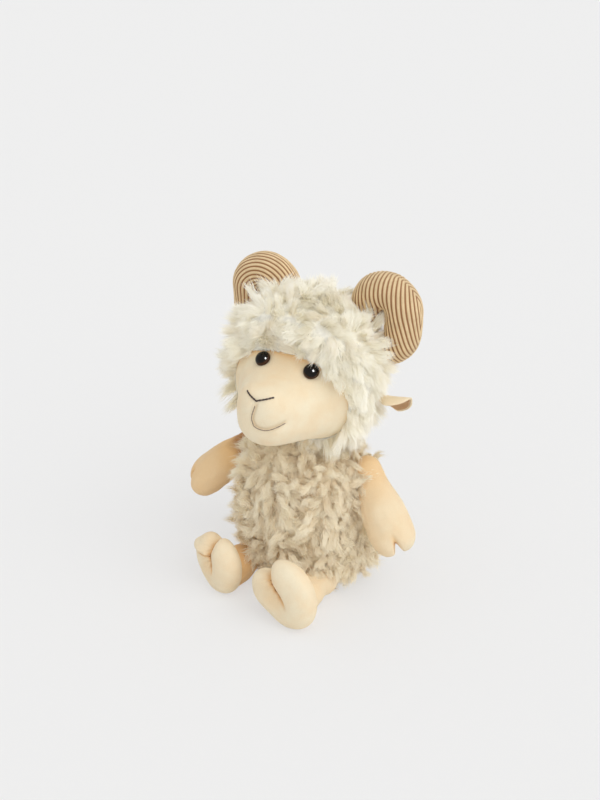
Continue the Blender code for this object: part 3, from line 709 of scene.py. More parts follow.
def limb_shape(segments, rings, root_radius, length, girth, shares):
    """A limb along +Z whose root is a ball about the origin, swelling and tapering to its end."""
    stop = asin(min(1, girth * shares[0][1] / root_radius))
    rows = []
    for count in range(8):
        polar = (pi - stop) * count / 7
        rows.append((-root_radius * cos(polar), root_radius * sin(polar)))
    rows += [(station * length, share * girth) for station, share in shares]
    line = np.array([smooth_row(rows, share) for share in np.linspace(0, 1, 300)])
    line[:, 1] = np.maximum(line[:, 1], 0)
    line[-1, 1] = 0
    run = np.concatenate(([0], np.cumsum(np.linalg.norm(np.diff(line, axis=0), axis=1))))

    def place(share, angle):
        height = np.interp(share * run[-1], run, line[:, 0])
        radius = np.interp(share * run[-1], run, line[:, 1])
        return Vector((radius * cos(angle), radius * sin(angle), height))

    return ringed_form(segments, rings, place)


def arm_data(name, segments, rings, swell):
    """A stuffed arm with a cloven hand, and its painted shade: in the cleft, near the root under the fleece, and
    over the whole far arm.
    """
    side, shoulder, droop, ahead = ARMS[name]
    droop, ahead = radians(droop), radians(ahead)
    level = Vector((cos(ahead) * side, -sin(ahead), 0))
    heading = level * cos(droop) - Vector((0, 0, sin(droop)))
    face = radians(20) + ahead
    palm = Vector((sin(face) * side, -cos(face), 0))
    turn = frame_along(heading, palm.cross(heading)).to_4x4()
    data = as_data(limb_shape(segments, rings, ARM_ROOT, ARM_LENGTH, ARM_GIRTH, ARM_SHARES), f"arm_{name}")
    places = vertex_places(data)
    share = np.clip(places[:, 2] / ARM_LENGTH, 0, 1)
    places[:, 0] *= 1 + 0.16 * share
    places[:, 1] *= 1 - 0.16 * share
    reshape(data, places)
    normals = vertex_normals(data)
    tip = smooth_step(places[:, 2], 0.045, 0.059)
    across = places[:, 0]
    cleft = bell(across, 0.0016) * tip
    broad = bell(across, 0.0060) * smooth_step(places[:, 2], 0.038, 0.061)
    pull = 0.0030 * cleft + 0.0016 * broad + 0.00075 * wander(places, 0.030, 11 + side)
    pull += 0.0003 * wander(places, 0.009, 31 + side) - swell
    places -= normals * pull[:, None]
    places[:, 2] -= 0.0065 * bell(across, 0.0020) * smooth_step(places[:, 2], 0.051, 0.061)
    reshape(data, places)
    # Painted shade: darker near the root, where the arm goes into the fleece, and in the cleft; the far right arm
    # is darker all over; a random unevenness is added.
    root = 1 - smooth_step(places[:, 2], 0.006, 0.034)
    tone = (0.22 if side > 0 else 0.62) + 0.40 * root + 0.75 * cleft + 0.12 * wander(places, 0.03, 5)
    data.transform(Matrix.Translation(shoulder) @ turn)
    return data, np.clip(tone, 0, 1)


def leg_line(name):
    """Where a leg starts and which way it points."""
    side, splay, _ = LEGS[name]
    return Vector((HIP[0] * side, *HIP[1:])), Vector((sin(radians(splay)) * side, -cos(radians(splay)), 0))


def foot_place(name):
    """Where a foot stands: at its leg's end, turned to lean on its heel."""
    hip, heading = leg_line(name)
    middle = Matrix.Translation((0, 0, FOOT_MIDDLE))
    ground = Matrix.Translation(hip + heading * LEG_LENGTH - Vector((0, 0, HIP[2])))
    return ground @ middle @ Matrix.Rotation(radians(LEGS[name][2]), 4, "Y") @ middle.inverted()


def leg_data(name, segments, rings, swell):
    """A short leg, wrinkled where its foot is sewn on, and its painted shade: darker in the wrinkles and over the
    whole far right leg.
    """
    side = SIDES[name]
    hip, heading = leg_line(name)
    data = as_data(limb_shape(segments, rings, LEG_ROOT, LEG_LENGTH, LEG_GIRTH, LEG_SHARES), f"leg_{name}")
    places, normals = vertex_places(data), vertex_normals(data)
    pull = 0.0006 * wander(places, 0.022, 21 + side) - swell
    wrinkles = smooth_step(places[:, 2], 0.022, 0.034)
    pull += 0.0005 * wrinkles * np.sin(np.arctan2(places[:, 1], places[:, 0]) * 9)
    places -= normals * pull[:, None]
    reshape(data, places)
    # Painted shade: darker in the wrinkles where the foot is sewn on, and over the whole far right leg; a random
    # unevenness is added.
    tone = (0.15 if side > 0 else 0.88) + 0.25 * wrinkles + 0.10 * wander(places, 0.02, 7)
    data.transform(Matrix.Translation(hip) @ frame_along(heading, (1, 0, 0)).to_4x4())
    places = vertex_places(data)
    places[:, 2] = np.maximum(places[:, 2], 0.0002 - min(0, swell))
    reshape(data, places)
    return data, np.clip(tone, 0, 0.88)


def foot_data(name, segments, rings, swell):
    """A foot's flat cushion, pulled in between its two toes, and its painted shade in the cleft, the hollows, the
    crease and at the back.
    """
    side = LEGS[name][0]

    def place(share, angle):
        girth = squared(sin(pi * share), 2.4)
        depth = squared(cos(pi * share), 2.2) * 0.0115
        x = girth * 0.022 * squared(cos(angle), 2.3)
        z = 0.0245 + girth * 0.025 * squared(sin(angle), 2.3)
        taper = 0.82 + 0.18 * min(1, max(0, z / 0.05) * 2)
        return Vector((x * taper, depth, z))

    data = as_data(ringed_form(segments, rings, place), f"foot_{name}")
    places, normals = vertex_places(data), vertex_normals(data)
    fall = 0.0495 - places[:, 2]
    middle = -0.0062 + 0.22 * fall if side > 0 else 0.0030 - 0.12 * fall
    across = places[:, 0] - middle
    front = smooth_step(-places[:, 1], -0.004, 0.004)
    high = smooth_step(places[:, 2], 0.016, 0.026)
    cleft = bell(across, 0.0014) * high
    broad = bell(across, 0.0058) * smooth_step(places[:, 2], 0.010, 0.030)
    hollow = bell(across + 0.0065, 0.0065) * bell(places[:, 2] - 0.024, 0.011) * front
    pull = 0.0040 * cleft + 0.0032 * broad * (0.35 + 0.65 * front) + 0.0026 * hollow
    pull += 0.0004 * wander(places, 0.024, 41 + side) - swell
    pucker = bell(across, 0.0080) * high * front
    puckers = np.sin(places[:, 2] / 0.0056 * 2 * pi + 7 * np.abs(across) / 0.01)
    pull += 0.00050 * pucker * smooth_step(-across, -0.002, 0.001) * puckers
    # Painted shade in the cleft, between the toes and in the hollow of the sole; the right foot also gets it in
    # the crease under its flap.
    painted_shade = 1.45 * cleft + 0.26 * broad * front + 0.30 * hollow
    if side < 0:
        crease = places[:, 2] - 0.0355 + 0.30 * (places[:, 0] + 0.008)
        flap = bell(crease, 0.0010) * smooth_step(-across, 0.000, 0.003) * front
        lip = bell(crease - 0.0030, 0.0034) * smooth_step(-across, 0.000, 0.004) * front
        pull += 0.0022 * flap - 0.0024 * lip
        painted_shade = painted_shade + 1.10 * flap
    places -= normals * pull[:, None]
    notch = np.exp(-((np.abs(across) / 0.0042) ** 1.6))
    places[:, 2] -= 0.0072 * notch * smooth_step(places[:, 2], 0.034, 0.0485)
    edge = smooth_step(places[:, 1], -0.006, 0.004)
    if side > 0:
        places[:, 0] -= 0.0050 * smooth_step(-across, 0.0, 0.012) * smooth_step(places[:, 2], 0.010, 0.034)
    reshape(data, places)
    # Painted shade at the foot's back, and a random unevenness.
    painted_shade = 0.10 * edge + painted_shade + 0.06 * wander(places, 0.02, 6)
    if side < 0:
        data.transform(Matrix.Rotation(radians(-12), 4, "Z") @ Matrix.Diagonal((0.87, 0.94, 0.91, 1)))
    data.transform(foot_place(name))
    places = vertex_places(data) + ((0.0013, -0.0018, 0) if side > 0 else (-0.0020, 0.0028, 0))
    places[:, 2] = np.maximum(places[:, 2], 0.0002 - min(0, swell))
    reshape(data, places)
    return data, np.clip(painted_shade, 0, 1)


# Each kind of limb: its form, the body that it rides on, and how finely its skin and its filling are divided
LIMBS = {
    "arm": (arm_data, "arm", (112, 120), (40, 44)),
    "leg": (leg_data, "leg", (96, 84), (32, 28)),
    "foot": (foot_data, "leg", (120, 100), (48, 36)),
}


def build_limbs(kind):
    """Adds a pair of stuffed velour limbs, each with its wad of loose fibre."""
    form, carrier, skin, filling = LIMBS[kind]
    velour, fibre = look("cream_velour"), look("polyester_fibre") or fibre_material()
    for name in SIDES:
        body = f"{carrier}_{name}"
        data, painted_shade = form(name, *skin, 0)
        # The limb's painted shade goes into an attribute that the velour reads.
        paint(data, "painted_shade", painted_shade)
        instead = (f"{kind}_{name}",)
        add_piece(f"{kind}_skin_{name}", data, body, "cream_velour", velour, instead=instead)
        data, instead = form(name, *filling, -0.0022)[0], (f"{kind}_stuffing_{name}",)
        add_piece(f"{kind}_filling_{name}", data, body, "polyester_fibre", fibre, instead=instead)


# Horns and ears

HORN_SHARES = tuple(
    (share,) for share in (
        0, 0.78, 0.86, 0.92, 0.96, 0.99, 1, 1, 1, 1, 1, 1, 0.99, 0.97, 0.93, 0.86, 0.72, 0.46, 0
    )
)
HORN_BEND, HORN_STRAIGHT, HORN_TUBE, HORN_ROOT, HORN_END = 0.0126, 0.0140, 0.0124, 0.0090, radians(135)
# Each horn's place on the head, measured to its own side
HORN_PLACES = {"left": (0.0444, 0.026, 0.0362), "right": (0.0444, 0.026, 0.0312)}


def horn_line(distance):
    """A place and heading on the horn's middle line, in the plane of its curl, from the root's start."""
    half_turn = pi * HORN_BEND
    upper = HORN_STRAIGHT / 2
    if distance < HORN_ROOT:
        return Vector((-HORN_BEND, 0, upper - HORN_ROOT + distance)), Vector((0, 0, 1))
    distance -= HORN_ROOT
    if distance < half_turn:
        turn = pi - distance / HORN_BEND
        return (
            Vector((HORN_BEND * cos(turn), 0, upper + HORN_BEND * sin(turn))),
            Vector((sin(turn), 0, -cos(turn))),
        )
    distance -= half_turn
    if distance < HORN_STRAIGHT:
        return Vector((HORN_BEND, 0, upper - distance)), Vector((0, 0, -1))
    turn = -(distance - HORN_STRAIGHT) / HORN_BEND
    return Vector((HORN_BEND * cos(turn), 0, -upper + HORN_BEND * sin(turn))), Vector((sin(turn), 0, -cos(turn)))


def build_horns():
    """Adds two corduroy horns with raised ribs: upright ones on the left, lengthwise ones on the right."""
    corduroy = corduroy_material("striped_corduroy", tuple(colours().wale), tuple(colours().groove))
    length = HORN_ROOT + pi * HORN_BEND + HORN_STRAIGHT + HORN_END * HORN_BEND
    for name, side in SIDES.items():
        mesh = bmesh.new()
        bmesh.ops.create_uvsphere(mesh, u_segments=152, v_segments=272 if side > 0 else 152, radius=1)
        phases = []
        for point in mesh.verts:
            share = acos(max(-1, min(1, point.co.z))) / pi
            angle = atan2(point.co.y, point.co.x)
            middle, heading = horn_line(length * (1 - cos(pi * share)) / 2)
            outward = Vector((heading.z, 0, -heading.x))
            radius = max(0, smooth_row(HORN_SHARES, share)[0]) * HORN_TUBE
            point.co = middle + radius * (cos(angle) * outward + sin(angle) * Vector((0, 1, 0)))
            if side > 0:
                unrolled = middle + outward * (pi / 2 - abs(angle)) * (point.co - middle).length
                fall = HORN_STRAIGHT / 2 + HORN_BEND + HORN_TUBE - unrolled.z
                phases.append((unrolled.x - 0.06 * fall - 3.2 * fall ** 2) / sizes().wale)
            else:
                phases.append(angle / (2 * pi) * 28)
        face_outward(mesh)
        data = as_data(mesh, f"horn_skin_{name}")
        ridge = 0.5 + 0.5 * np.cos(2 * pi * np.array(phases))
        places, normals = vertex_places(data), vertex_normals(data)
        places += normals * (0.0007 * (ridge - 0.6) + 0.0005 * wander(places, 0.02, 61))[:, None]
        reshape(data, places)
        paint(data, "rib", ridge)
        data.transform(HEAD @ Matrix.Diagonal((side, 1, 1, 1)) @ Matrix.Translation(HORN_PLACES[name]))
        if side < 0:
            data.flip_normals()
        instead = (f"horn_{name}",)
        add_piece(f"horn_skin_{name}", data, "head", "striped_corduroy", corduroy, instead=instead)


def ear_shape(thickness, lift, inset):
    """A leaf folded round its length, pointing along +Z, with its hollow facing +Y."""
    fold = radians(75)
    mesh = bmesh.new()
    bmesh.ops.create_grid(mesh, x_segments=20, y_segments=18, size=1)
    for point in mesh.verts:
        along = (point.co.y + 1) / 2
        spread = sqrt(max(0, 1 - (max(0, along - 0.35) / 0.65) ** 2)) * 0.94 + 0.06
        width = 0.0145 * spread * (0.46 + 0.54 * min(1, along / 0.35))
        radius = width / fold
        angle = fold * point.co.x * (1 - inset / 0.0145)
        rise = radius - (radius - lift) * cos(angle)
        point.co = ((radius - lift) * sin(angle), rise, inset + (0.0225 - 2 * inset) * along)
    face_outward(mesh)
    bmesh.ops.solidify(mesh, geom=mesh.faces[:], thickness=thickness)
    face_outward(mesh)
    return mesh


def build_ears():
    """Adds two folded ears, pale outside and tan within."""
    velour = look("cream_velour")
    lining = velour_material("ear_lining", (0.60, 0.38, 0.21), (0.36, 0.19, 0.09))
    for name, side in SIDES.items():
        heading = Vector((cos(radians(10)) * side, 0, sin(radians(10))))
        hollow = Vector((0, -cos(radians(54)), -sin(radians(54))))
        root = Vector((0.0495 * side, 0.012, -0.013))
        turn = HEAD @ Matrix.Translation(root) @ frame_along(heading, hollow.cross(heading)).to_4x4()
        for label, replaced, slot, material, shape, painted_shade in (
            ("ear_skin", "ear", "cream_velour", velour, (0.0012, 0, 0), 0.10),
            ("ear_inside", "ear_lining", "ear_lining", lining, (0.0012, 0.0018, 0.0012), 0.15),
        ):
            data = modified(as_data(ear_shape(*shape), label), "SUBSURF", levels=1, render_levels=1)
            places = vertex_places(data)
            places += vertex_normals(data) * (0.0003 * wander(places, 0.012, 71))[:, None]
            reshape(data, places)
            # An even value of the painted-shade attribute, which shifts the whole ear a little towards its shade
            # colour.
            paint(data, "painted_shade", np.full(len(data.vertices), painted_shade))
            data.transform(turn)
            add_piece(f"{label}_{name}", data, f"ear_{name}", slot, material, instead=(f"{replaced}_{name}",))


# Fleece

# The most strands in one piece
PER_PIECE = 24000
TUFT_SPACING = 0.022
# The body's top, half width and half depth, and how far it leans forward
BODY_TOP, BODY_WIDTH, BODY_DEPTH, BODY_LEAN = 0.106, 0.0445, 0.039, 0.009
# The height where the body is widest, and how far its seat reaches below that
BODY_MIDDLE, BODY_SEAT = 0.038, 0.0385
# How far the neck's and the hood's rounds reach
NECK_RADIUS = 0.0193
HOOD_REACH = (0.0515, 0.0490, 0.0505)
# The least height over the ground of a strand's middle line and of its edges
STRAND_CLEAR, EDGE_CLEAR = 0.0008, 0.0002
# How the body's and the neck's locks stand, gather, curl and spread
CURLED = {
    "spacing": 0.0034, "wobble": 0.20, "clump": 0.36, "curl": 0.0015, "turns": 1.2, "loose": 0.60,
    "frizz": 0.00024, "spray": 0.0010, "thick": 0.00016, "stations": 5,
}
# The same for the head's longer and straighter tufts
TUFTED = {
    "spacing": 0.0040, "wobble": 0.10, "clump": 0.28, "curl": 0.0005, "turns": 0.6, "loose": 0.9,
    "frizz": 0.00030, "spray": 0.0015, "thick": 0.00016, "stations": 4,
}


def strand_template(stations):
    """A flat strand drawn to a point, with the row and the side of each vertex."""
    mesh = bmesh.new()
    bmesh.ops.create_grid(mesh, x_segments=1, y_segments=stations - 1, size=1)
    bmesh.ops.scale(mesh, vec=(1, (stations - 1) / 2, 1), verts=mesh.verts)
    bmesh.ops.translate(mesh, vec=(0, (stations - 1) / 2, 0), verts=mesh.verts)
    tip = [point for point in mesh.verts if point.co.y > stations - 1.5]
    bmesh.ops.pointmerge(mesh, verts=tip, merge_co=(0, stations - 1, 0))
    rows = np.array([round(point.co.y) for point in mesh.verts])
    return mesh, rows, np.array([point.co.x for point in mesh.verts])


def repeated(mesh, count):
    """A bmesh repeated in place, as mesh data."""
    return modified(as_data(mesh, "strand"), "ARRAY", count=count, use_relative_offset=False)


def triangles(data):
    """A mesh's faces cut into triangles, in an order that follows their corners and so is the same on each run."""
    corners = []
    for face in data.polygons:
        ring = list(face.vertices)
        lowest = ring.index(min(ring))
        ring = ring[lowest:] + ring[:lowest]
        corners += [(ring[0], *pair) for pair in zip(ring[1:], ring[2:])]
    return sorted(corners)


def scattered(data, count, rng):
    """Places and normals spread over a mesh by area."""
    corners = np.array(triangles(data))
    places, normals = vertex_places(data), vertex_normals(data)
    first, second, third = (places[corners[:, index]] for index in range(3))
    area = np.linalg.norm(np.cross(second - first, third - first), axis=1)
    pick = rng.choice(len(corners), size=count, p=area / area.sum())
    shares = rng.dirichlet((1, 1, 1), count)[:, :, None]
    return (places[corners[pick]] * shares).sum(axis=1), (normals[corners[pick]] * shares).sum(axis=1)


def indexed(places):
    """A search tree of places."""
    tree = KDTree(len(places))
    for index, place in enumerate(places):
        tree.insert(place, index)
    tree.balance()
    return tree


def spaced(places, spacing):
    """Which places to keep so that no two lie closer than the spacing."""
    tree = indexed(places)
    free = np.ones(len(places), dtype=bool)
    for index, place in enumerate(places):
        if free[index]:
            for _, other, _ in tree.find_range(place, spacing):
                if other > index:
                    free[other] = False
    return np.nonzero(free)[0]


def unit(vectors):
    """Vectors of length 1."""
    return vectors / np.maximum(np.linalg.norm(vectors, axis=-1, keepdims=True), 1e-9)


def obstacles(names):
    """Finished pieces that the fleece has to go round: a search tree and the box of each."""
    found = []
    for name in names:
        data = bpy.data.objects[name].data
        places = vertex_places(data)
        tree = BVHTree.FromPolygons(places.tolist(), triangles(data))
        found.append((tree, places.min(axis=0), places.max(axis=0)))
    return found


def moved_clear(places, walls, margin):
    """Pushes places out of the pieces in the way, and says which of them had been inside."""
    inside = np.zeros(len(places), dtype=bool)
    for tree, low, high in walls:
        near = np.nonzero(np.all((places > low - margin) & (places < high + margin), axis=1))[0]
        for index in near:
            spot, normal, _, gap = tree.find_nearest(Vector(places[index]))
            depth = (Vector(places[index]) - spot).dot(normal)
            if depth < margin:
                inside[index] |= depth < 0
                places[index] = spot + normal * margin
    return inside


def guide_lines(roots, headings, lengths, droop, wobble, turns):
    """Middle lines of the locks: each sets off along its heading, wanders and hangs."""
    stations = len(turns)
    lines = np.empty((stations, len(roots), 3))
    lines[0] = roots
    heading = unit(headings)
    for row in range(1, stations):
        turn = (unit(turns[0]) + turns[row] * 0.5) * wobble * 5 / (stations - 1)
        heading = unit(heading + turn + np.array((0, 0, -1)) * droop[:, None])
        lines[row] = lines[row - 1] + heading * (lengths / (stations - 1))[:, None]
    return lines


def laid_over(places, ups, size, seed, hang):
    """Headings along the surface that change slowly from place to place, with a pull downwards."""
    drift = np.stack([wander(places, size, seed + axis) for axis in range(3)], axis=1) * 1.4
    drift[:, 2] -= hang
    return unit(drift - (drift * ups).sum(axis=1)[:, None] * ups)


def grow_fleece(name, backing, body, slot, material, style, walls, seed):
    """Covers a backing with locks: strands gathered round guides that bend, curl and hang."""
    # One guide for each lock
    rng = np.random.default_rng(seed)
    tries, normals = scattered(backing, style["tries"], rng)
    wanted = np.nonzero(style["covers"](tries))[0]
    picks = wanted[spaced(tries[wanted], style["spacing"])]
    guides, ups = tries[picks], normals[picks]
    stations = style["stations"]
    jitter, turns, hair, chance = (
        rng.normal(size=(style["tries"], 3))[picks], rng.normal(size=(stations, style["tries"], 3))[:, picks],
        rng.normal(size=(style["tries"], 3))[picks], rng.random((4, style["tries"]))[:, picks],
    )
    headings, lengths, droop = style["grows"](guides, unit(ups), jitter, chance[0])
    lines = guide_lines(guides, headings, lengths, droop, style["wobble"], turns)
    tree = indexed(guides)

    # The strands' roots, each in the lock whose guide is nearest
    roots, outward = scattered(backing, style["strands"], rng)
    luck, scatter = rng.random((4, len(roots))), rng.normal(size=(stations + 1, len(roots), 3))
    kept = style["covers"](roots)
    kept[kept] = ~moved_clear(roots[kept], walls, -0.0012)
    roots, outward, luck, scatter = roots[kept], outward[kept], luck[:, kept], scatter[:, kept]
    lock = np.array([tree.find(place)[1] for place in roots])
    count = len(roots)

    # Their middle lines, drawn in to the guide, curled, frizzed and kept out of what stands in the way
    share = np.linspace(0, 1, stations)
    reach = 0.70 + 0.30 * luck[0]
    spot = share[:, None] * reach * (stations - 1)
    below = np.minimum(spot.astype(int), stations - 2)
    blend = (spot - below)[:, :, None]
    paths = lines[below, lock] * (1 - blend) + lines[below + 1, lock] * blend
    gather = (1 - style["clump"] * share ** 0.7)[:, None, None]
    paths = paths + (roots - guides[lock])[None] * gather
    along = unit(lines[-1] - lines[0])[lock]
    across = unit(np.cross(along, hair[lock]))
    beside = np.cross(along, across)
    phase = 2 * pi * chance[1][lock] + style["loose"] * scatter[0][:, 0]
    handed = np.where(chance[2] < 0.5, -1.0, 1.0)[lock]
    angle = phase + handed * 2 * pi * style["turns"] * share[:, None]
    curl = (style["curl"] * np.minimum(1, share * 1.8))[:, None] * (0.7 + 0.5 * luck[1])
    paths += curl[:, :, None] * (np.cos(angle)[:, :, None] * across + np.sin(angle)[:, :, None] * beside)
    paths += (style["frizz"] * scatter[1:] + style["spray"] * scatter[0]) * share[:, None, None]
    flat = paths[1:].reshape(-1, 3)
    moved_clear(flat, walls, 0.0004)
    flat[:, 2] = np.maximum(flat[:, 2], STRAND_CLEAR)
    paths[1:] = flat.reshape(stations - 1, count, 3)

    # Ribbons along them that face outwards
    tangents = unit(np.gradient(paths, axis=0))
    facing = unit(outward) + np.array((0.15, -0.15, 0.9)) + 0.20 * scatter[stations]
    out = -unit(facing - (facing * tangents).sum(axis=2)[:, :, None] * tangents)
    aside = np.cross(tangents, out)
    taper = np.interp(share, (0, 0.15, 0.6, 0.85, 1), (0.8, 1.0, 0.95, 0.62, 0))
    girth = taper[:, None] * (0.75 + 0.45 * luck[2]) * style["thick"]

    for part, start in enumerate(range(0, count, PER_PIECE)):
        chosen = slice(start, min(start + PER_PIECE, count))
        amount = chosen.stop - chosen.start
        mesh, rows, sides = strand_template(stations)
        data = repeated(mesh, amount)
        middle = paths[rows, chosen].transpose(1, 0, 2)
        width = girth[rows, chosen].T[:, :, None] * sides[None, :, None]
        places = middle + width * aside[rows, chosen].transpose(1, 0, 2)
        places[:, :, 2] = np.maximum(places[:, :, 2], EDGE_CLEAR)
        reshape(data, places.reshape(-1, 3))
        along = np.broadcast_to(share[rows], (amount, len(rows))).ravel()
        tones = [np.repeat(values[chosen], len(rows)) for values in (chance[3][lock], luck[3])]
        paint(data, "wool", np.stack((along, *tones), axis=1))
        add_piece(f"{name}_{part + 1}", data, body, slot, material, smooth=False)


def torso_shape(segments, rings, swell):
    """The body's pear, with a full flat seat and a rounder crown, leaning forward as it rises."""
    def place(share, angle):
        polar = pi * share
        low = polar > pi / 2
        fullness = 3.6 if low else 3.8
        reach = BODY_SEAT if low else BODY_TOP - BODY_MIDDLE
        height = BODY_MIDDLE + squared(cos(polar), fullness) * reach
        girth = squared(sin(polar), fullness)
        lean = BODY_LEAN * sqrt(max(0, height) / BODY_TOP)
        return Vector((girth * BODY_WIDTH * cos(angle), girth * BODY_DEPTH * sin(angle) - lean, height))

    mesh = swollen(ringed_form(segments, rings, place), swell)
    for point in mesh.verts:
        point.co.z = max(point.co.z, 0.0004)
    return mesh


def tuft_share(places):
    """How far a place stands up among the fleece's tufts, from 0 in a hollow to 1 on a crest."""
    x, y, z = (places[:, axis] * 2 * pi / TUFT_SPACING for axis in range(3))
    wave = np.sin(x) * np.cos(y) + np.sin(y) * np.cos(z) + np.sin(z) * np.cos(x)
    return np.clip(0.5 + wave / 2.6, 0, 1)


def tufted(data, depth):
    """Sinks a fleece's backing between its tufts."""
    places = vertex_places(data)
    places -= vertex_normals(data) * (depth * (1 - tuft_share(places)))[:, None]
    reshape(data, places)


def build_coat(label, data, body, replaced, style, walls, seed):
    """Adds a part of the body's fleece: its backing and the curled locks on it."""
    tip = tuple(colours().body_fleece)
    # The roots' colour is the tips' colour with painted shade; the backing under the locks takes it too.
    root = tinted(tip, (0.93, 0.86, 0.76))
    backing = look("body_backing") or backing_material("body_backing", root)
    wool = look("body_fleece") or fleece_material("body_fleece", tip, root)
    add_piece(f"{label}_skin", data, body, "body_fleece", backing, instead=(replaced,))
    grow_fleece(f"{label}_locks", data, body, "body_fleece", wool, {**CURLED, **style}, obstacles(walls), seed)


def build_body():
    """Adds the fleece of the body, which goes round the limbs."""
    def covers(places):
        return places[:, 2] > 0.003

    def grows(places, ups, jitter, chance):
        low = smooth_step(places[:, 2], 0.004, 0.018)
        heading = ups * 0.60 + laid_over(places, ups, 0.024, 50, 0.25) * 0.90 + jitter * 0.32
        heading[:, 2] += 0.7 * (1 - low)
        length = sizes().body_lock * (0.75 + 0.40 * chance) * (0.7 + 0.3 * low)
        return heading, length * (0.75 + 0.35 * tuft_share(places)), 0.08 * low

    data = as_data(torso_shape(96, 72, 0.0005), "body_skin")
    tufted(data, 0.0025)
    style = {"tries": 14000, "strands": 98000, "covers": covers, "grows": grows}
    walls = [f"{kind}_skin_{name}" for kind in LIMBS for name in SIDES]
    build_coat("body", data, "torso", "torso_fleece", style, walls, 5)


def build_neck():
    """Adds the fleece that runs up under the head and turns with the neck."""
    def covers(places):
        return (places[:, 2] > 0.098) & (places[:, 2] < 0.123)

    def grows(places, ups, jitter, chance):
        heading = ups + jitter * 0.40 + np.array((0, 0, -0.25))
        return heading, 0.013 * (0.75 + 0.40 * chance), np.full(len(places), 0.10)

    mesh = bmesh.new()
    bmesh.ops.create_uvsphere(mesh, u_segments=64, v_segments=40, radius=NECK_RADIUS)
    bmesh.ops.translate(mesh, verts=mesh.verts, vec=(0, -0.008, BODY_TOP))
    face_outward(mesh)
    style = {"tries": 2000, "strands": 11000, "covers": covers, "grows": grows}
    walls = ["face", "arm_skin_left", "arm_skin_right"]
    build_coat("neck", as_data(mesh, "neck_skin"), "neck", "neck_stuffing", style, walls, 7)


def hood_shape():
    """The hood's whole round in the head's own frame, drawn in to the face where the two are sewn together."""
    mesh = bmesh.new()
    bmesh.ops.create_uvsphere(mesh, u_segments=128, v_segments=96, radius=1)
    bmesh.ops.scale(mesh, vec=HOOD_REACH, verts=mesh.verts)
    bmesh.ops.translate(mesh, verts=mesh.verts, vec=(0, 0, 0.003))
    skull = head_shape(96, 80, VELOUR)
    tree = BVHTree.FromBMesh(skull)
    skull.free()
    shares = opening_share(np.array([point.co for point in mesh.verts]))
    drawn = 1 - smooth_step(shares, 1.0, 1.7)
    for point, amount in zip(mesh.verts, drawn):
        heading = point.co.normalized()
        seat = tree.ray_cast(heading * 0.2, -heading)[0]
        point.co = point.co.lerp(seat + heading * 0.0012, amount)
    face_outward(mesh)
    return mesh


def build_head():
    """Adds the head's hood: its backing, open round the face, and the longer tufts on it."""
    mesh = hood_shape()
    shares = opening_share(np.array([point.co for point in mesh.verts]))
    open_faces = [face for face in mesh.faces if max(shares[point.index] for point in face.verts) < 1.0]
    bmesh.ops.delete(mesh, geom=open_faces, context="FACES")
    bmesh.ops.solidify(mesh, geom=mesh.faces[:], thickness=0.0010)
    data = as_data(mesh, "hood_skin")
    data.transform(HEAD)
    tip = tuple(colours().head_fleece)
    # The roots' colour is the tips' colour with painted shade; the backing under the tufts takes it too.
    root = tinted(tip, (0.98, 0.96, 0.92))
    backing = backing_material("head_backing", root)
    add_piece("hood_skin", data, "head", "head_fleece", backing, instead=("fleece_hood",))
    ground = as_data(hood_shape(), "ground")
    tufted(ground, 0.0030)
    ground.transform(HEAD)
    inverse, turn = np.array(HEAD.inverted()), np.array(HEAD)[:3, :3]
    eyes = np.array((EYES["left"], EYES["right"])) + (0, -0.02, 0)

    def local(places):
        return places @ inverse[:3, :3].T + inverse[:3, 3]

    def covers(places):
        spots = local(places)
        beside = smooth_step(np.abs(spots[:, 0]), 0.020, 0.034)
        return opening_share(spots) > 0.98 - 0.10 * beside

    def grows(places, ups, jitter, chance):
        spots = local(places)
        x, _, z = spots.T
        aside = np.abs(x)
        near = 1 - smooth_step(opening_share(spots), 1.0, 2.0)
        beside = smooth_step(aside, 0.020, 0.034)[:, None]
        # Locks lie over the head, stand out round the face, hang beside it and rise round the horns
        heading = ups * 0.50 + laid_over(places, ups, 0.040, 90, 0.50) * 0.66 + jitter * 0.26
        radial = unit(spots * np.array((1, 0, 1)) + np.array((0, 0, 0.010)))
        level = unit(np.stack((x, -aside * 0.7 - 0.004, z * 0.4), axis=1))
        heading += near[:, None] * ((radial * 0.9) * (1 - beside) + level * 1.4 * beside) @ turn.T
        heading += smooth_step(aside, 0.014, 0.036)[:, None] * np.array((0, -0.15, -0.22))
        horned = np.linalg.norm(np.abs(spots * (1, 0, 0)) + spots * (0, 1, 1) - (0.040, 0.006, 0.036), axis=1)
        collar = 1 - smooth_step(horned, 0.008, 0.024)
        heading += collar[:, None] * np.array((0, -0.1, 0.4))
        # They are longer at the cheeks and round the horns, and shorter on the brow and round the eyes
        lobe = smooth_step(-z, 0.004, 0.030) * smooth_step(aside, 0.012, 0.030)
        brow = near * (1 - beside[:, 0])
        nearest = np.min([np.linalg.norm(spots - eye, axis=1) for eye in eyes], axis=0)
        seen = 1 - smooth_step(nearest, 0.012, 0.022)
        length = sizes().head_lock * (0.82 + 0.26 * chance)
        length *= 0.92 + 0.42 * lobe + 0.26 * collar - 0.26 * brow - 0.42 * seen
        return heading, length * (0.78 + 0.30 * tuft_share(spots)), 0.05 * (1 - near) + 0.01 + 0.14 * lobe

    style = {**TUFTED, "tries": 16000, "strands": 145000, "covers": covers, "grows": grows}
    walls = obstacles(["face", "horn_skin_left", "horn_skin_right", "ear_skin_left", "ear_skin_right"])
    wool = fleece_material("head_fleece", tip, root)
    grow_fleece("head_locks", ground, "head", "head_fleece", wool, style, walls, 9)
    bpy.data.meshes.remove(ground)


# What lies inside the skins


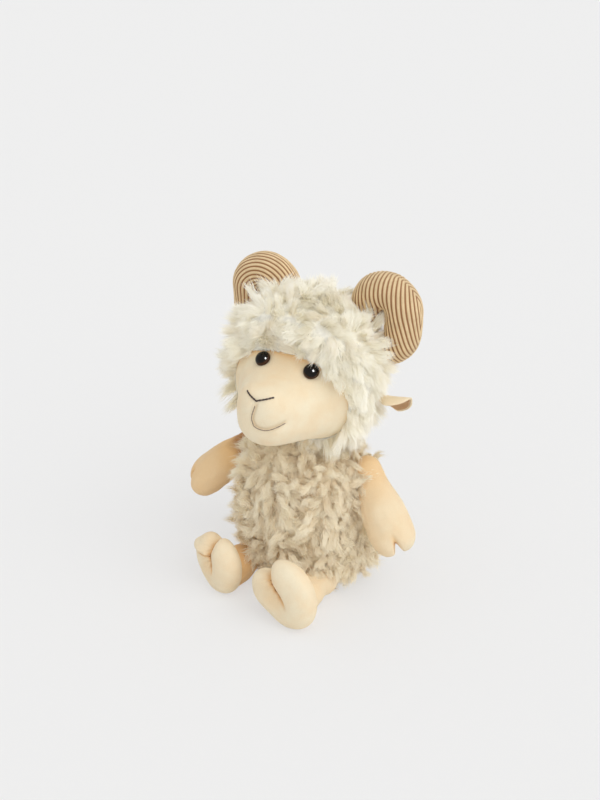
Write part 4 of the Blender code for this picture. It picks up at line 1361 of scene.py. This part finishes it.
def build_inside():
    """Gives the filling, the pouch and the washers their materials."""
    looks = {
        "stuffing": look("polyester_fibre"), "washer": washer_material(),
        "pellet_pouch": plain_cloth_material("pouch_cloth", (0.78, 0.76, 0.70)),
    }
    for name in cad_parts:
        piece = bpy.data.objects[name]
        for word, made in looks.items():
            if piece.type == "MESH" and word in name:
                piece.data.materials.clear()
                piece.data.materials.append(made)


# Stage

# How far the camera stands to the sheep's left, above it and away from it, and what it looks at
VIEW_TURN, VIEW_RISE, VIEW_REACH = radians(36), radians(29), 1.1
VIEW_TARGET = Vector((-0.01258, 0.00143, 0.12544))
ROOM_LIGHT = 0.77
# Share of the floor's own tone that is seen as it is, without light or shadow
FLOOR_GLOW = 0.62
# Each lamp's strength, width in degrees, colour, and how far to the camera's right, near and high it stands
LAMPS = {
    "key": (0.86, 60, (1.0, 0.99, 0.97), (0.6, 0.5, 0.75)),
    "fill": (0.26, 60, (1.0, 1.0, 1.0), (0.30, 0.52, 0.82)),
    "glint": (14, 26, (1.0, 1.0, 1.0), (0.42, 0.585, 0.68)),
}


def floor_material():
    """A plain pale floor that keeps its tone where it is seen and takes only part of a shadow."""
    made, tree, shader = new_material("floor")
    tone = tuple(colours().floor)
    coloured(tree, shader, ramp(tree, noise(tree, 3, 2), (0.0, tone), (1.0, tinted(tone, 1.004))))
    settle(shader, Roughness=1.0, Specular_IOR_Level=0.0)
    seen = node(tree, "ShaderNodeEmission")
    settle(seen, Color=(*tone, 1))
    rays = node(tree, "ShaderNodeLightPath").outputs
    mirrored = arithmetic(tree, "MAXIMUM", rays["Is Glossy Ray"], rays["Is Transmission Ray"])
    watched = arithmetic(tree, "MAXIMUM", rays["Is Camera Ray"], mirrored)
    mixed = node(tree, "ShaderNodeMixShader")
    output = next(step for step in tree.nodes if step.type == "OUTPUT_MATERIAL")
    for start, end in (
        (arithmetic(tree, "MULTIPLY", watched, FLOOR_GLOW), mixed.inputs["Fac"]),
        (shader.outputs["BSDF"], mixed.inputs[1]),
        (seen.outputs["Emission"], mixed.inputs[2]),
        (mixed.outputs["Shader"], output.inputs["Surface"]),
    ):
        tree.links.new(start, end)
    return made


def build_lamps():
    """Adds the key lamp, a fill lamp that casts no shadow and a low one that only a gloss shows."""
    right = Vector((cos(VIEW_TURN), sin(VIEW_TURN), 0))
    nearer = Vector((sin(VIEW_TURN), -cos(VIEW_TURN), 0))
    for name, (strength, width, tone, (aside, near, high)) in LAMPS.items():
        sun = bpy.data.lights.new(name, "SUN")
        sun.energy = strength
        sun.angle = radians(width)
        sun.color = tone
        sun.use_shadow = name == "key"
        lamp = linked(bpy.data.objects.new(name, sun))
        lamp.visible_diffuse = name != "glint"
        heading = right * aside + nearer * near + Vector((0, 0, high))
        lamp.rotation_euler = heading.to_track_quat("Z", "Y").to_euler()


def build_camera():
    """Adds the camera where the photograph was taken."""
    camera = bpy.data.cameras.new("camera")
    camera.sensor_fit = "VERTICAL"
    camera.sensor_height = 36
    camera.lens = 72.765
    camera.clip_start = 0.01
    eye = linked(bpy.data.objects.new("camera", camera))
    away = Vector((sin(VIEW_TURN) * cos(VIEW_RISE), -cos(VIEW_TURN) * cos(VIEW_RISE), sin(VIEW_RISE)))
    eye.location = VIEW_TARGET + away * VIEW_REACH
    eye.rotation_euler = away.to_track_quat("Z", "Y").to_euler()
    bpy.context.scene.camera = eye


def build_stage():
    """Adds the floor, the soft light and the camera."""
    mesh = bmesh.new()
    bmesh.ops.create_grid(mesh, x_segments=1, y_segments=1, size=6)
    floor = linked(bpy.data.objects.new("floor", as_data(mesh, "floor")))
    floor.data.materials.append(floor_material())
    scene = bpy.context.scene
    scene.world = bpy.data.worlds.new("room")
    scene.world.use_nodes = True
    settle(scene.world.node_tree.nodes["Background"], Color=(1.0, 1.0, 1.0, 1), Strength=ROOM_LIGHT)
    build_lamps()
    build_camera()
    scene.view_settings.view_transform = "Standard"
    scene.cycles.diffuse_bounces = 12


# Operators and panel


class SHEEP_OT_face(bpy.types.Operator):
    """Build the velour face with its thread nose and mouth and its two eyes"""

    bl_idname = "sheep.face"
    bl_label = "Face"

    def execute(self, context):
        tree = build_face()
        build_threads(tree)
        build_eyes(tree)
        return {"FINISHED"}


class SHEEP_OT_horns(bpy.types.Operator):
    """Build the two corduroy horns"""

    bl_idname = "sheep.horns"
    bl_label = "Horns"

    def execute(self, context):
        build_horns()
        return {"FINISHED"}


class SHEEP_OT_ears(bpy.types.Operator):
    """Build the two lined ears"""

    bl_idname = "sheep.ears"
    bl_label = "Ears"

    def execute(self, context):
        build_ears()
        return {"FINISHED"}


class SHEEP_OT_arms(bpy.types.Operator):
    """Build the two arms with their cloven hands"""

    bl_idname = "sheep.arms"
    bl_label = "Arms"

    def execute(self, context):
        build_limbs("arm")
        return {"FINISHED"}


class SHEEP_OT_legs(bpy.types.Operator):
    """Build the two legs"""

    bl_idname = "sheep.legs"
    bl_label = "Legs"

    def execute(self, context):
        build_limbs("leg")
        return {"FINISHED"}


class SHEEP_OT_feet(bpy.types.Operator):
    """Build the two cloven feet"""

    bl_idname = "sheep.feet"
    bl_label = "Feet"

    def execute(self, context):
        build_limbs("foot")
        return {"FINISHED"}


class SHEEP_OT_body(bpy.types.Operator):
    """Build the body's backing and its curled locks"""

    bl_idname = "sheep.body"
    bl_label = "Body fleece"

    def execute(self, context):
        build_body()
        build_neck()
        return {"FINISHED"}


class SHEEP_OT_head(bpy.types.Operator):
    """Build the hood's backing and the tufts of the head"""

    bl_idname = "sheep.head"
    bl_label = "Head fleece"

    def execute(self, context):
        build_head()
        return {"FINISHED"}


class SHEEP_OT_inside(bpy.types.Operator):
    """Give the filling, the pouch and the washers their materials"""

    bl_idname = "sheep.inside"
    bl_label = "Filling"

    def execute(self, context):
        build_inside()
        return {"FINISHED"}


class SHEEP_OT_stage(bpy.types.Operator):
    """Set the floor, the light and the camera"""

    bl_idname = "sheep.stage"
    bl_label = "Stage"

    def execute(self, context):
        build_stage()
        return {"FINISHED"}


OPERATORS = (
    SHEEP_OT_face, SHEEP_OT_horns, SHEEP_OT_ears, SHEEP_OT_arms, SHEEP_OT_legs, SHEEP_OT_feet, SHEEP_OT_body,
    SHEEP_OT_head, SHEEP_OT_inside, SHEEP_OT_stage,
)


class SHEEP_PT_panel(bpy.types.Panel):
    """The sizes, the colours and a button for each piece"""

    bl_idname = "SHEEP_PT_panel"
    bl_label = "Plush Sheep"
    bl_space_type = "VIEW_3D"
    bl_region_type = "UI"
    bl_category = "Plush Sheep"

    def draw(self, context):
        layout = self.layout
        for group in (context.scene.sheep_sizes, context.scene.sheep_colours):
            for name in group.bl_rna.properties.keys():
                if name not in {"name", "rna_type"}:
                    layout.prop(group, name)
        for operator in OPERATORS:
            layout.operator(operator.bl_idname)


CLASSES = (SheepSizes, SheepColours, *OPERATORS, SHEEP_PT_panel)


def register():
    for cls in CLASSES:
        bpy.utils.register_class(cls)
    bpy.types.Scene.sheep_sizes = bpy.props.PointerProperty(type=SheepSizes)
    bpy.types.Scene.sheep_colours = bpy.props.PointerProperty(type=SheepColours)


def unregister():
    del bpy.types.Scene.sheep_colours
    del bpy.types.Scene.sheep_sizes
    for cls in reversed(CLASSES):
        bpy.utils.unregister_class(cls)


def main():
    register()
    for operator in OPERATORS:
        group, name = operator.bl_idname.split(".")
        getattr(getattr(bpy.ops, group), name)()


if __name__ == "__main__":
    main()
